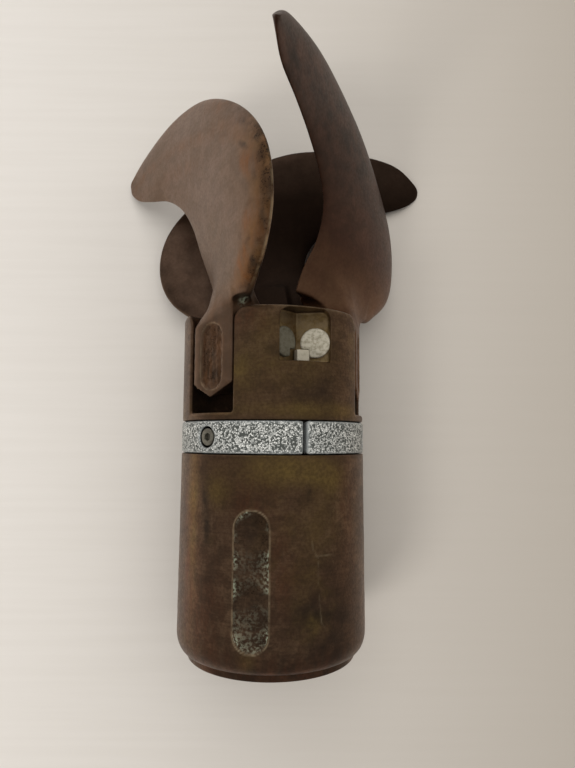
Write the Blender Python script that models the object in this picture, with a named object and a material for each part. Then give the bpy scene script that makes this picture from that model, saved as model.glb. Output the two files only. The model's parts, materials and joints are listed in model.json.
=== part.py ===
# Three-bladed folding propeller for a sail-drive or shaft, lying on its side as it
# would on a bench: it rests on the barrel's front edge and on two blade tips, and
# the blades stand a few degrees open from fully folded.
#
# Hub frame: the hub's axis is Y with aft positive, and Y = 0 is the front wall of
# the anode groove. An angle about the axis is measured from +Z toward +X.
# Blade frame: X runs out along the span of an open blade, Y runs aft and Z lies
# along the hinge pin. Its origin is on the hinge axis.

import math

import bmesh
import bpy
import numpy as np
from mathutils import Matrix, Vector

MM = 0.001

# Hub casting
HUB_RADIUS = 52.0 * MM
BARREL_FRONT_RADIUS = 52.7 * MM
FRONT_FACE_Y = -111.0 * MM
LIP_RADIUS = 46.6 * MM
LIP_BACK_Y = -107.2 * MM
SHOULDER_Y = -97.0 * MM
CARRIER_RADIUS = 51.8 * MM
GROOVE_FRONT_Y = -0.6 * MM
GROOVE_BACK_Y = 17.1 * MM
GROOVE_FLOOR_RADIUS = 42.0 * MM
RIM_Y = 76.0 * MM
RIM_ROUND = 1.2 * MM
BUSH_BORE_RADIUS = 40.0 * MM
WEB_FRONT_Y = -12.0 * MM
CENTRE_BORE_RADIUS = 22.0 * MM
HUB_SEGMENTS = 60

# Hinges
BLADE_COUNT = 3
FIRST_BLADE_ANGLE = math.radians(-40.4)
HINGE_RADIUS = 29.2 * MM
HINGE_Y = 57.8 * MM
PIN_RADIUS = 8.1 * MM
PIN_BORE_RADIUS = 8.2 * MM
PIN_HALF_LENGTH = 33.9 * MM
PIN_CHAMFER = 0.6 * MM
NOTCH_SIDE = 2.7 * MM
NOTCH_FRONT = 2.2 * MM
NOTCH_DEPTH = 5.0 * MM
REST_FOLD = math.radians(8.0)

# Slots and windows of the blade carrier
SLOT_HALF_WIDTH = 15.7 * MM
SLOT_FLOOR_Y = 21.0 * MM
SLOT_MOUTH_ROUND = 4.5 * MM
WINDOW_HALF_WIDTH = 13.0 * MM
WINDOW_FRONT_Y = 47.4 * MM
WINDOW_BACK_Y = 73.4 * MM
WINDOW_ROUND = 5.0 * MM
WINDOW_FLOOR = 33.0 * MM

# Lock keys
KEY_HALF_WIDTH = 3.5 * MM
KEY_TOP_RADIUS = 44.4 * MM
KEY_LENGTH = 6.4 * MM

# Oval casting recess on the barrel
RECESS_ANGLE = math.radians(-10.2)
RECESS_Y = -62.0 * MM
RECESS_LENGTH = 70.5 * MM
RECESS_WIDTH = 19.0 * MM
RECESS_DEPTH = 1.6 * MM

# Anode ring
ANODE_INNER_RADIUS = 42.3 * MM
ANODE_OUTER_RADIUS = 52.0 * MM
ANODE_FRONT_Y = 0.0
ANODE_BACK_Y = 16.6 * MM
ANODE_SPLIT = 1.4 * MM
ANODE_ROUND = 0.9 * MM
SCREW_HEAD_RADIUS = 4.5 * MM
SCREW_SHANK_RADIUS = 2.5 * MM
SCREW_SOCKET = 4.0 * MM
SCREW_SOCKET_DEPTH = 2.6 * MM
SCREW_SEAT_RADIUS = 46.4 * MM
SCREW_HEAD_HEIGHT = 4.6 * MM
SCREW_TIP_RADIUS = 36.0 * MM
COUNTERBORE_RADIUS = 5.6 * MM
SCREW_HOLE_RADIUS = 2.8 * MM

# Splined sleeve and rubber bush
SLEEVE_RADIUS = 26.0 * MM
SPLINE_COUNT = 17
SPLINE_ROOT_RADIUS = 14.5 * MM
SPLINE_TIP_RADIUS = 12.9 * MM
SLEEVE_FRONT_Y = -107.0 * MM
SLEEVE_BACK_Y = -14.0 * MM
BUSH_FRONT_Y = -103.0 * MM
BUSH_BACK_Y = -16.0 * MM
FIT_GAP = 0.3 * MM

# Blade root: a two-sided bevel gear segment, its heel and its neck
ROOT_HALF_WIDTH = 15.3 * MM
ROOT_OVERLAP = 1.0 * MM
ROOT_GROOVE_HALF_WIDTH = 3.0 * MM
GEAR_TEETH = 16
GEAR_SLOPE = math.tan(math.radians(30.0))
GEAR_ADDENDUM = 0.62
GEAR_DEDENDUM = 0.95
GEAR_TOOTH_SHARE = 0.45
GEAR_START = math.radians(82.0)
GEAR_END = math.radians(194.0)
HEEL_RADIUS = 35.6 * MM
ROOT_FRONT = 25.0 * MM
ROOT_FRONT_START = -9.0 * MM
FACE_END = 13.0 * MM
FACE_END_SLOPE = 0.3
ROOT_FACE_RADIUS = 50.0 * MM
ROOT_FACE_CROWN = 0.02
ROOT_RECESS_LENGTH = 35.0 * MM
ROOT_RECESS_WIDTH = 14.4 * MM
ROOT_RECESS_DEPTH = 2.4 * MM

# Neck between root and blade, in millimetres from the pin: out along the span, aft,
# and its share of the blade's slope
NECK = (
    (33.0, -12.5, 0.8),
    (46.0, -6.5, 1.0),
    (46.0, -1.5, 1.0),
    (26.0, 8.5, 0.7),
    (16.0, 13.0, 0.3),
    (6.0, 17.0, 0.0),
)
NECK_SLOPE = -0.5

# Blade outline, seen with the blade open, in millimetres from the hub's axis:
# out along the span, across the blade toward the leading edge, and aft of the pins
LEADING_EDGE = (
    (54.0, 29.0, -19.0),
    (72.5, 50.5, -28.5),
    (94.5, 58.5, -29.5),
    (120.0, 53.7, -25.0),
    (143.0, 35.3, -15.3),
    (162.0, 8.0, -4.0),
    (174.7, -23.8, 8.4),
    (176.3, -58.0, 17.2),
    (168.5, -93.8, 25.4),
    (152.5, -114.7, 25.2),
)
TRAILING_EDGE = (
    (56.2, -29.5, 15.0),
    (86.0, -31.0, 7.3),
    (103.5, -35.0, 5.8),
    (117.5, -46.5, 8.9),
    (127.8, -64.0, 13.3),
    (133.5, -85.0, 17.0),
    (139.1, -102.7, 20.6),
    (145.8, -112.4, 23.0),
    (152.5, -114.7, 25.2),
)
PITCH = 250.0
ROOT_THICKNESS = 12.0
TIP_THICKNESS = 2.6
SPAN_STATIONS = 18
CHORD_STATIONS = 8


def clear_scene():
    for obj in list(bpy.data.objects):
        bpy.data.objects.remove(obj, do_unlink=True)


def make_material(name, color, roughness, metallic):
    material = bpy.data.materials.new(name)
    material.use_nodes = True
    shader = material.node_tree.nodes["Principled BSDF"]
    shader.inputs["Base Color"].default_value = (*color, 1.0)
    shader.inputs["Roughness"].default_value = roughness
    shader.inputs["Metallic"].default_value = metallic
    material.diffuse_color = (*color, 1.0)
    return material


def make_mesh(name, verts, faces):
    """A closed mesh whose faces all point out."""
    mesh = bpy.data.meshes.new(name)
    mesh.from_pydata([tuple(v) for v in verts], [], [tuple(f) for f in faces])
    bm = bmesh.new()
    bm.from_mesh(mesh)
    bmesh.ops.recalc_face_normals(bm, faces=bm.faces)
    if bm.calc_volume(signed=True) < 0:
        bmesh.ops.reverse_faces(bm, faces=bm.faces)
    bm.to_mesh(mesh)
    bm.free()
    return mesh


def add_object(name, mesh, parent=None, material=None):
    obj = bpy.data.objects.new(name, mesh)
    bpy.context.collection.objects.link(obj)
    obj.parent = parent
    if material:
        obj.data.materials.clear()
        obj.data.materials.append(material)
    return obj


def add_empty(name, matrix, parent=None):
    empty = bpy.data.objects.new(name, None)
    bpy.context.collection.objects.link(empty)
    empty.empty_display_size = 0.02
    empty.parent = parent
    empty.matrix_local = matrix
    return empty


def radial_frame(angle):
    """Columns: outward, aft, and minus the direction of growing angle."""
    outward = Vector((math.sin(angle), 0.0, math.cos(angle)))
    around = Vector((math.cos(angle), 0.0, -math.sin(angle)))
    return Matrix((outward, Vector((0.0, 1.0, 0.0)), -around)).transposed().to_4x4()


def ring_faces(rings, count):
    """Quads between neighbouring rings of the same number of points."""
    faces = []
    for i in range(rings - 1):
        for j in range(count):
            k = (j + 1) % count
            faces.append((i * count + j, i * count + k, (i + 1) * count + k, (i + 1) * count + j))
    return faces


def loft_faces(rings, count):
    """Ring faces with a flat cap on the first and the last ring."""
    faces = ring_faces(rings, count)
    return faces + [tuple(range(count)), tuple(range(rings * count - 1, (rings - 1) * count - 1, -1))]


def turned_mesh(name, profile, segments):
    """A closed (radius, y) loop turned once around the hub's axis."""
    verts = []
    count = len(profile)
    for i in range(segments):
        angle = 2 * math.pi * i / segments
        verts += [(r * math.sin(angle), y, r * math.cos(angle)) for r, y in profile]
    faces = ring_faces(segments, count)
    last = (segments - 1) * count
    for j in range(count):
        k = (j + 1) % count
        faces.append((last + j, last + k, k, j))
    return make_mesh(name, verts, faces)


def prism_mesh(name, outline, low, high, place):
    """An outline in the place's X and Y, drawn out along its Z from low to high."""
    count = len(outline)
    verts = [place @ Vector((x, y, z)) for z in (low, high) for x, y in outline]
    return make_mesh(name, verts, loft_faces(2, count))


def circle_outline(radius, segments, turn=0.0):
    angles = [turn + 2 * math.pi * i / segments for i in range(segments)]
    return [(radius * math.cos(a), radius * math.sin(a)) for a in angles]


def oval_outline(length, width, segments):
    """A slot shape along X with half-round ends."""
    radius = width / 2
    reach = length / 2 - radius
    points = []
    for i in range(segments + 1):
        angle = -math.pi / 2 + math.pi * i / segments
        points.append((reach + radius * math.cos(angle), radius * math.sin(angle)))
    return points + [(-x, -y) for x, y in points]


def cut(target, mesh, operation="DIFFERENCE"):
    """A Boolean modifier with a hidden tool object."""
    tool = add_object("tool_" + mesh.name, mesh, target.parent)
    tool.hide_render = True
    tool.display_type = "WIRE"
    modifier = target.modifiers.new(mesh.name, "BOOLEAN")
    modifier.operation = operation
    modifier.solver = "EXACT"
    modifier.object = tool
    return tool


def shade(mesh, degrees):
    mesh.shade_smooth()
    mesh.set_sharp_from_angle(angle=math.radians(degrees))


def finished_mesh(obj, name, degrees):
    """The object's mesh with its modifiers worked in, ready to be shared by copies."""
    depsgraph = bpy.context.evaluated_depsgraph_get()
    mesh = bpy.data.meshes.new_from_object(obj.evaluated_get(depsgraph))
    mesh.name = name
    shade(mesh, degrees)
    tools = [m.object for m in obj.modifiers if m.type == "BOOLEAN"]
    for item in tools + [obj]:
        bpy.data.objects.remove(item, do_unlink=True)
    return mesh


def blade_angles():
    return [FIRST_BLADE_ANGLE + 2 * math.pi * i / BLADE_COUNT for i in range(BLADE_COUNT)]


def window_angles():
    return [angle + math.pi / BLADE_COUNT for angle in blade_angles()]


def along_axis(angle):
    """Places a prism so that it runs outward, with its outline in (around, aft)."""
    outward = Vector((math.sin(angle), 0.0, math.cos(angle)))
    around = Vector((math.cos(angle), 0.0, -math.sin(angle)))
    return Matrix((around, Vector((0.0, 1.0, 0.0)), outward)).transposed().to_4x4()


def hub_profile():
    points = [(BUSH_BORE_RADIUS, FRONT_FACE_Y), (LIP_RADIUS, FRONT_FACE_Y), (LIP_RADIUS, LIP_BACK_Y)]
    steps = 4
    for i in range(steps + 1):
        angle = math.pi / 2 * i / steps
        radius = LIP_RADIUS + 0.4 * MM + (BARREL_FRONT_RADIUS - LIP_RADIUS - 0.4 * MM) * math.sin(angle)
        points.append((radius, SHOULDER_Y - (SHOULDER_Y - LIP_BACK_Y) * math.cos(angle)))
    points += [
        (HUB_RADIUS, GROOVE_FRONT_Y - 0.6 * MM),
        (HUB_RADIUS - 0.5 * MM, GROOVE_FRONT_Y),
        (GROOVE_FLOOR_RADIUS, GROOVE_FRONT_Y),
        (GROOVE_FLOOR_RADIUS, GROOVE_BACK_Y),
        (CARRIER_RADIUS - 0.4 * MM, GROOVE_BACK_Y),
        (CARRIER_RADIUS, GROOVE_BACK_Y + 0.5 * MM),
        (CARRIER_RADIUS, RIM_Y - RIM_ROUND),
        (CARRIER_RADIUS - 0.3 * RIM_ROUND, RIM_Y - 0.3 * RIM_ROUND),
        (CARRIER_RADIUS - RIM_ROUND, RIM_Y),
        (CENTRE_BORE_RADIUS, RIM_Y),
        (CENTRE_BORE_RADIUS, WEB_FRONT_Y),
        (BUSH_BORE_RADIUS, WEB_FRONT_Y),
    ]
    return points


def slot_outline():
    w, r = SLOT_HALF_WIDTH, SLOT_MOUTH_ROUND
    side = [(w, SLOT_FLOOR_Y), (w, RIM_Y - r)]
    for i in range(1, 4):
        angle = math.pi / 2 * i / 3
        side.append((w + r * (1 - math.cos(angle)), RIM_Y - r + r * math.sin(angle)))
    side.append((w + r, RIM_Y + 5 * MM))
    return side + [(-x, y) for x, y in reversed(side)]


def window_mesh(name, angle):
    """A pocket with a V floor: each half of it is square to the pin on its side."""
    centre = WINDOW_FLOOR / math.sin(math.pi / 3)
    edge = (WINDOW_FLOOR + 0.5 * WINDOW_HALF_WIDTH) / math.sin(math.pi / 3)
    top = HUB_RADIUS + 8 * MM
    w, r = WINDOW_HALF_WIDTH, WINDOW_ROUND
    place = along_axis(angle)
    columns = [(-w, WINDOW_FRONT_Y), (-w, WINDOW_BACK_Y - r)]
    for i in range(1, 4):
        turn = math.pi / 2 * i / 3
        columns.append((-w + r * (1 - math.cos(turn)), WINDOW_BACK_Y - r + r * math.sin(turn)))
    columns.append((0.0, WINDOW_BACK_Y))
    columns += [(-x, y) for x, y in reversed(columns[:-1])]
    columns.append((0.0, WINDOW_FRONT_Y))
    verts = []
    for x, y in columns:
        verts.append(place @ Vector((x, y, centre + (edge - centre) * abs(x) / w)))
    for x, y in columns:
        verts.append(place @ Vector((x, y, top)))
    count = len(columns)
    faces = ring_faces(2, count)
    middle = count // 2
    half_a = list(range(0, middle)) + [count - 1]
    half_b = list(range(middle - 1, count))
    faces += [tuple(half_a), tuple(half_b), tuple(range(2 * count - 1, count - 1, -1))]
    return make_mesh(name, verts, faces)


def build_hub(parent, material):
    mesh = turned_mesh("hub_casting", hub_profile(), HUB_SEGMENTS)
    hub = add_object("hub_casting", mesh, parent, material)
    for i, angle in enumerate(blade_angles(), 1):
        place = along_axis(angle)
        cut(hub, prism_mesh(f"slot_{i}", slot_outline(), 0.0, HUB_RADIUS + 8 * MM, place))
        bore = radial_frame(angle) @ Matrix.Translation((HINGE_RADIUS, HINGE_Y, 0.0))
        cut(hub, prism_mesh(f"pin_bore_{i}", circle_outline(PIN_BORE_RADIUS, 32), -60 * MM, 60 * MM, bore))
        seat = place @ Matrix.Translation((0.0, (ANODE_FRONT_Y + ANODE_BACK_Y) / 2, 0.0))
        hole = circle_outline(SCREW_HOLE_RADIUS, 16)
        cut(hub, prism_mesh(f"screw_hole_{i}", hole, SCREW_TIP_RADIUS - 1 * MM, HUB_RADIUS, seat))
    for i, angle in enumerate(window_angles(), 1):
        cut(hub, window_mesh(f"window_{i}", angle))
    place = along_axis(RECESS_ANGLE) @ Matrix.Translation((0.0, RECESS_Y, 0.0))
    place = place @ Matrix.Rotation(math.pi / 2, 4, "Z")
    oval = oval_outline(RECESS_LENGTH, RECESS_WIDTH, 8)
    cut(hub, prism_mesh("casting_recess", oval, HUB_RADIUS - RECESS_DEPTH, HUB_RADIUS + 8 * MM, place))
    shade(mesh, 35)


def build_anode(parent, zinc, steel):
    """Three segments, split between the blades, each held by one socket-head screw."""
    steps = 21
    inner, outer = ANODE_INNER_RADIUS, ANODE_OUTER_RADIUS
    front, back, r = ANODE_FRONT_Y, ANODE_BACK_Y, ANODE_ROUND
    section = [(inner, front), (outer - r, front), (outer, front + r), (outer, back - r), (outer - r, back)]
    section.append((inner, back))
    reach = math.pi / 3 - ANODE_SPLIT / 2 / ANODE_OUTER_RADIUS
    middle = (front + back) / 2
    for i, angle in enumerate(blade_angles(), 1):
        verts = []
        for k in range(steps + 1):
            a = angle - reach + 2 * reach * k / steps
            verts += [(radius * math.sin(a), y, radius * math.cos(a)) for radius, y in section]
        mesh = make_mesh("anode_segment", verts, loft_faces(steps + 1, len(section)))
        segment = add_object(f"anode_segment_{i}", mesh, parent, zinc)
        place = along_axis(angle) @ Matrix.Translation((0.0, middle, 0.0))
        hole = circle_outline(SCREW_HOLE_RADIUS, 16)
        cut(segment, prism_mesh(f"anode_hole_{i}", hole, 30 * MM, 60 * MM, place))
        bore = circle_outline(COUNTERBORE_RADIUS, 24)
        cut(segment, prism_mesh(f"counterbore_{i}", bore, SCREW_SEAT_RADIUS, 60 * MM, place))
        shade(segment.data, 30)
        build_screw(f"anode_screw_{i}", place, parent, steel)


def build_screw(name, place, parent, material):
    """Rings from the tip of the shank up over the head and down into its hex socket."""
    seat = SCREW_SEAT_RADIUS + FIT_GAP
    top = seat + SCREW_HEAD_HEIGHT
    edge = 0.4 * MM
    segments = 24
    levels = [
        (SCREW_SHANK_RADIUS - edge, SCREW_TIP_RADIUS),
        (SCREW_SHANK_RADIUS, SCREW_TIP_RADIUS + edge),
        (SCREW_SHANK_RADIUS, seat),
        (SCREW_HEAD_RADIUS, seat),
        (SCREW_HEAD_RADIUS, top - edge),
        (SCREW_HEAD_RADIUS - edge, top),
    ]
    verts = [place @ Vector((x, y, z)) for r, z in levels for x, y in circle_outline(r, segments)]
    socket = []
    for i in range(segments):
        angle = 2 * math.pi * i / segments
        flat = (angle + math.pi / 6) % (math.pi / 3) - math.pi / 6
        r = SCREW_SOCKET / 2 / math.cos(flat)
        socket.append((r * math.cos(angle), r * math.sin(angle)))
    verts += [place @ Vector((x, y, z)) for z in (top, top - SCREW_SOCKET_DEPTH) for x, y in socket]
    mesh = make_mesh(name, verts, loft_faces(len(levels) + 2, segments))
    screw = add_object(name, mesh, parent, material)
    shade(screw.data, 30)


def build_pins(parent, steel, key_material):
    """Hinge pins, notched at both ends for the keys that stop them turning and sliding."""
    segments = 32
    half, chamfer = PIN_HALF_LENGTH, PIN_CHAMFER
    levels = [(PIN_RADIUS - chamfer, -half), (PIN_RADIUS, chamfer - half), (PIN_RADIUS, half - chamfer)]
    levels.append((PIN_RADIUS - chamfer, half))
    verts = [(x, y, z) for r, z in levels for x, y in circle_outline(r, segments)]
    blank = add_object("pin_blank", make_mesh("pin_blank", verts, loft_faces(4, segments)))
    far = 12 * MM
    corner = [(-far, -far), (-NOTCH_SIDE, -far), (-NOTCH_SIDE, -NOTCH_FRONT), (-far, -NOTCH_FRONT)]
    low = half - NOTCH_DEPTH
    cut(blank, prism_mesh("notch_a", corner, low, half + 1 * MM, Matrix.Identity(4)))
    cut(blank, prism_mesh("notch_b", corner, -half - 1 * MM, -low, Matrix.Identity(4)))
    mesh = finished_mesh(blank, "hinge_pin", 30)
    for i, angle in enumerate(blade_angles(), 1):
        pin = add_object(f"hinge_pin_{i}", mesh, parent, steel)
        pin.matrix_local = radial_frame(angle) @ Matrix.Translation((HINGE_RADIUS, HINGE_Y, 0.0))
    centre = (WINDOW_FLOOR + 0.5 * FIT_GAP) / math.sin(math.pi / 3) + FIT_GAP
    w = KEY_HALF_WIDTH
    foot = centre + 0.5 * w / math.sin(math.pi / 3)
    outline = [(-w, foot), (0.0, centre), (w, foot), (w, KEY_TOP_RADIUS), (-w, KEY_TOP_RADIUS)]
    front = WINDOW_FRONT_Y + FIT_GAP
    for i, angle in enumerate(window_angles(), 1):
        swap = along_axis(angle) @ Matrix(((1, 0, 0, 0), (0, 0, 1, 0), (0, 1, 0, 0), (0, 0, 0, 1)))
        key = prism_mesh(f"lock_key_{i}", outline, front, front + KEY_LENGTH, swap)
        add_object(f"lock_key_{i}", key, parent, key_material)


def build_bush(parent, bronze, rubber):
    """A sleeve with internal splines, held in the barrel by a rubber bush."""
    outer, inner = [], []
    per_tooth = 4
    total = SPLINE_COUNT * per_tooth
    for i in range(total):
        angle = 2 * math.pi * (i + 0.5) / total
        outer.append((SLEEVE_RADIUS * math.cos(angle), SLEEVE_RADIUS * math.sin(angle)))
        r = SPLINE_ROOT_RADIUS if i % per_tooth in (0, 1) else SPLINE_TIP_RADIUS
        inner.append((r * math.cos(angle), r * math.sin(angle)))
    verts = []
    for points, y in ((inner, SLEEVE_FRONT_Y), (outer, SLEEVE_FRONT_Y), (outer, SLEEVE_BACK_Y)):
        verts += [(x, y, z) for x, z in points]
    verts += [(x, SLEEVE_BACK_Y, z) for x, z in inner]
    faces = ring_faces(4, total)
    for j in range(total):
        k = (j + 1) % total
        faces.append((3 * total + j, 3 * total + k, k, j))
    sleeve = add_object("spline_sleeve", make_mesh("spline_sleeve", verts, faces), parent, bronze)
    shade(sleeve.data, 30)
    low, high = SLEEVE_RADIUS + FIT_GAP, BUSH_BORE_RADIUS - FIT_GAP
    edge = 1.5 * MM
    profile = [(low, BUSH_FRONT_Y), (high - edge, BUSH_FRONT_Y), (high, BUSH_FRONT_Y + edge)]
    profile += [(high, BUSH_BACK_Y), (low, BUSH_BACK_Y)]
    bush = add_object("rubber_bush", turned_mesh("rubber_bush", profile, 48), parent, rubber)
    shade(bush.data, 30)


def involute(radius, base):
    angle = math.acos(min(1.0, base / radius))
    return math.tan(angle) - angle


def gear_points(scale, phase):
    """Teeth of one side of the root, from GEAR_START to GEAR_END, as (span, aft) points."""
    pitch_radius = HINGE_RADIUS * scale
    module = 2 * pitch_radius / GEAR_TEETH
    tip = pitch_radius + GEAR_ADDENDUM * module
    root = pitch_radius - GEAR_DEDENDUM * module
    base = pitch_radius * math.cos(math.radians(20.0))
    step = 2 * math.pi / GEAR_TEETH
    half = GEAR_TOOTH_SHARE * step / 2
    flank = []
    for r in np.linspace(max(base, root), tip, 3):
        flank.append((half + involute(pitch_radius, base) - involute(r, base), r))
    points = [(GEAR_START, root)]
    first = math.ceil((GEAR_START - phase) / step) - 1
    for n in range(first, first + GEAR_TEETH):
        centre = phase + n * step
        spread = flank[0][0] + 0.03
        if centre - spread < GEAR_START or centre + spread > GEAR_END:
            continue
        points.append((centre - spread, root))
        points += [(centre - a, r) for a, r in flank]
        points += [(centre + a, r) for a, r in reversed(flank)]
        points.append((centre + spread, root))
    points.append((GEAR_END, root))
    return [(r * math.cos(a), r * math.sin(a)) for a, r in points]


def rest_to_open(outward, aft):
    """From (outward, aft) of the pin at the rest fold to (span, aft) of the open blade."""
    s, c = math.sin(REST_FOLD), math.cos(REST_FOLD)
    return outward * s + aft * c, aft * s - outward * c


def root_outline(across, sign, teeth):
    """Closed outline of the root in (span, aft), so far across toward its leading side,
    where sign is 1, or toward its trailing side."""
    scale = (HINGE_RADIUS - GEAR_SLOPE * across) / HINGE_RADIUS
    face = ROOT_FACE_RADIUS - HINGE_RADIUS - ROOT_FACE_CROWN * across
    heel = HEEL_RADIUS - GEAR_SLOPE * across
    points = list(teeth)
    corner = rest_to_open(face, -math.sqrt(heel ** 2 - face ** 2))
    points.append((-ROOT_FRONT * scale, ROOT_FRONT_START))
    points.append((-ROOT_FRONT * scale, 0.7 * corner[1]))
    points.append(corner)
    points.append(rest_to_open(face, FACE_END + FACE_END_SLOPE * sign * across))
    thin = 1.0 - across / (80 * MM)
    for span, aft, share in NECK:
        points.append((span * MM, aft * thin * MM + NECK_SLOPE * share * sign * across))
    return points


def smooth_curve(points, steps):
    """Catmull-Rom curve through the points, sampled closer together toward its end."""
    p = np.asarray(points, float)
    p = np.vstack([2 * p[0] - p[1], p, 2 * p[-1] - p[-2]])
    spans = len(p) - 3
    t = np.sin(np.linspace(0.0, 1.0, steps) * math.pi / 2) * spans
    i = np.minimum(t.astype(int), spans - 1)
    f = (t - i)[:, None]
    a, b, c, d = p[i], p[i + 1], p[i + 2], p[i + 3]
    return 0.5 * (2 * b + (c - a) * f + (2 * a - 5 * b + 4 * c - d) * f ** 2 + (3 * b - a - 3 * c + d) * f ** 3)


def helix_aft(points):
    """How far aft a screw surface of the blade's pitch lies at each point."""
    return -PITCH / (2 * math.pi) * np.arctan2(points[..., 1], points[..., 0])


def blade_skin():
    """Vertices and faces of the blade between its edges, ending in one tip point."""
    lead = smooth_curve(LEADING_EDGE, SPAN_STATIONS)
    trail = smooth_curve(TRAILING_EDGE, SPAN_STATIONS)
    turn = np.linspace(0.0, math.pi, CHORD_STATIONS + 1)
    t = ((1 - np.cos(turn)) / 2)[None, :, None]
    middle = lead[:, None] * (1 - t) + trail[:, None] * t
    twist = helix_aft(lead)[:, None] * (1 - t[..., 0]) + helix_aft(trail)[:, None] * t[..., 0]
    middle[..., 2] += helix_aft(middle) - twist
    along = np.gradient(middle, axis=0)
    chord = np.gradient(middle, axis=1)
    normal = np.cross(chord, along)
    normal /= np.linalg.norm(normal, axis=2, keepdims=True) + 1e-9
    s = np.linspace(0.0, 1.0, SPAN_STATIONS)[:, None]
    thickness = ROOT_THICKNESS + (TIP_THICKNESS - ROOT_THICKNESS) * s ** 0.8
    half = 0.5 * thickness * np.sin(turn)[None, :] * (1.0 + 0.35 * np.cos(turn)[None, :])
    front = middle + normal * half[..., None]
    back = middle - normal * half[..., None]
    rings = np.concatenate([front, back[:, -2:0:-1]], axis=1)[:-1]
    count = rings.shape[1]
    tip = len(rings) * count
    faces = ring_faces(len(rings), count)
    faces.append(tuple(range(count)))
    last = tip - count
    faces += [(last + j, last + (j + 1) % count, tip) for j in range(count)]
    points = np.vstack([rings.reshape(-1, 3), middle[-1, :1]]) * MM
    verts = [(u - HINGE_RADIUS, w, -v) for u, v, w in points]
    return verts, faces


def root_side(name, sign):
    """One gear side of the root, from just past its middle to the slot's wall."""
    phase = math.pi if sign > 0 else math.pi + math.pi / GEAR_TEETH
    verts = []
    for across in (-ROOT_OVERLAP, ROOT_HALF_WIDTH):
        scale = (HINGE_RADIUS - GEAR_SLOPE * across) / HINGE_RADIUS
        outline = root_outline(across, sign, gear_points(scale, phase))
        verts += [(x, y, -sign * across) for x, y in outline]
    return make_mesh(name, verts, loft_faces(2, len(verts) // 2))


def gear_groove():
    """Clears the teeth at the middle, where the three gears meet on the hub's axis."""
    inner = HINGE_RADIUS * (1 - 2 * GEAR_DEDENDUM / GEAR_TEETH) - 2.0 * MM
    sweep = np.linspace(GEAR_START - 0.03, GEAR_END + 0.03, 12)
    outline = [(inner * math.cos(a), inner * math.sin(a)) for a in sweep]
    outline += [(1.6 * inner * math.cos(a), 1.6 * inner * math.sin(a)) for a in reversed(sweep)]
    half = ROOT_GROOVE_HALF_WIDTH
    return prism_mesh("gear_groove", outline, -half, half, Matrix.Identity(4))


def blade_mesh():
    root = add_object("root_blank", root_side("root_side_a", 1))
    cut(root, root_side("root_side_b", -1), "UNION")
    cut(root, gear_groove())
    cut(root, make_mesh("blade_skin", *blade_skin()), "UNION")
    cut(root, prism_mesh("hinge_bore", circle_outline(PIN_BORE_RADIUS, 32), -20 * MM, 20 * MM, Matrix.Identity(4)))
    floor = ROOT_FACE_RADIUS - HINGE_RADIUS - ROOT_RECESS_DEPTH
    tilt = Matrix.Rotation(math.pi / 2 - REST_FOLD, 4, "Z").inverted()
    oval = oval_outline(ROOT_RECESS_LENGTH, ROOT_RECESS_WIDTH, 8)
    face = Matrix(((0, 0, 1, 0), (1, 0, 0, 0), (0, 1, 0, 0), (0, 0, 0, 1)))
    place = tilt @ face @ Matrix.Translation((-5 * MM, 0.0, 0.0))
    cut(root, prism_mesh("root_recess", oval, floor, floor + 20 * MM, place))
    return finished_mesh(root, "blade", 35)


def build_blades(parent, bronzes):
    mesh = blade_mesh()
    for i, angle in enumerate(blade_angles(), 1):
        place = radial_frame(angle) @ Matrix.Translation((HINGE_RADIUS, HINGE_Y, 0.0))
        pivot = add_empty(f"blade_hinge_{i}", place, parent)
        blade = add_object(f"blade_{i}", mesh.copy(), pivot, bronzes[i - 1])
        blade.rotation_euler = (0.0, 0.0, math.pi / 2 - REST_FOLD)


def world_points(prefix):
    bpy.context.view_layer.update()
    depsgraph = bpy.context.evaluated_depsgraph_get()
    points = []
    for obj in bpy.data.objects:
        if obj.type == "MESH" and obj.name.startswith(prefix) and not obj.hide_render:
            mesh = obj.evaluated_get(depsgraph).data
            points += [obj.matrix_world @ v.co for v in mesh.vertices]
    return np.array(points)


def lay_down(root):
    """Tips the hub until its front edge and the two low blade tips share one floor."""
    hub = world_points("hub_casting")
    blades = world_points("blade_")
    low, high = -0.1, 0.1
    for _ in range(40):
        tilt = (low + high) / 2
        heights = [p[:, 1] * math.sin(tilt) + p[:, 2] * math.cos(tilt) for p in (hub, blades)]
        if heights[0].min() > heights[1].min():
            low = tilt
        else:
            high = tilt
    root.rotation_euler = (tilt, 0.0, 0.0)
    points = world_points("")
    centre = (points.min(axis=0) + points.max(axis=0)) / 2
    root.location = (-centre[0], -centre[1], -points[:, 2].min())


def main():
    clear_scene()
    hub_bronze = make_material("hub_bronze", (0.080, 0.052, 0.034), 0.45, 0.9)
    blade_bronzes = [
        make_material("blade_bronze_taupe", (0.150, 0.105, 0.078), 0.42, 0.9),
        make_material("blade_bronze_brown", (0.105, 0.065, 0.044), 0.42, 0.9),
        make_material("blade_bronze_dark", (0.050, 0.036, 0.028), 0.45, 0.9),
    ]
    sleeve_bronze = make_material("sleeve_bronze", (0.420, 0.280, 0.130), 0.35, 1.0)
    zinc = make_material("anode_metal", (0.560, 0.550, 0.530), 0.6, 0.8)
    steel = make_material("stainless_steel", (0.560, 0.545, 0.520), 0.3, 1.0)
    key_steel = make_material("key_steel", (0.330, 0.300, 0.250), 0.4, 1.0)
    rubber = make_material("black_rubber", (0.020, 0.020, 0.021), 0.8, 0.0)
    root = add_empty("propeller", Matrix.Identity(4))
    build_hub(root, hub_bronze)
    build_anode(root, zinc, steel)
    build_pins(root, steel, key_steel)
    build_bush(root, sleeve_bronze, rubber)
    build_blades(root, blade_bronzes)
    lay_down(root)
    bpy.context.view_layer.update()


main()
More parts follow.
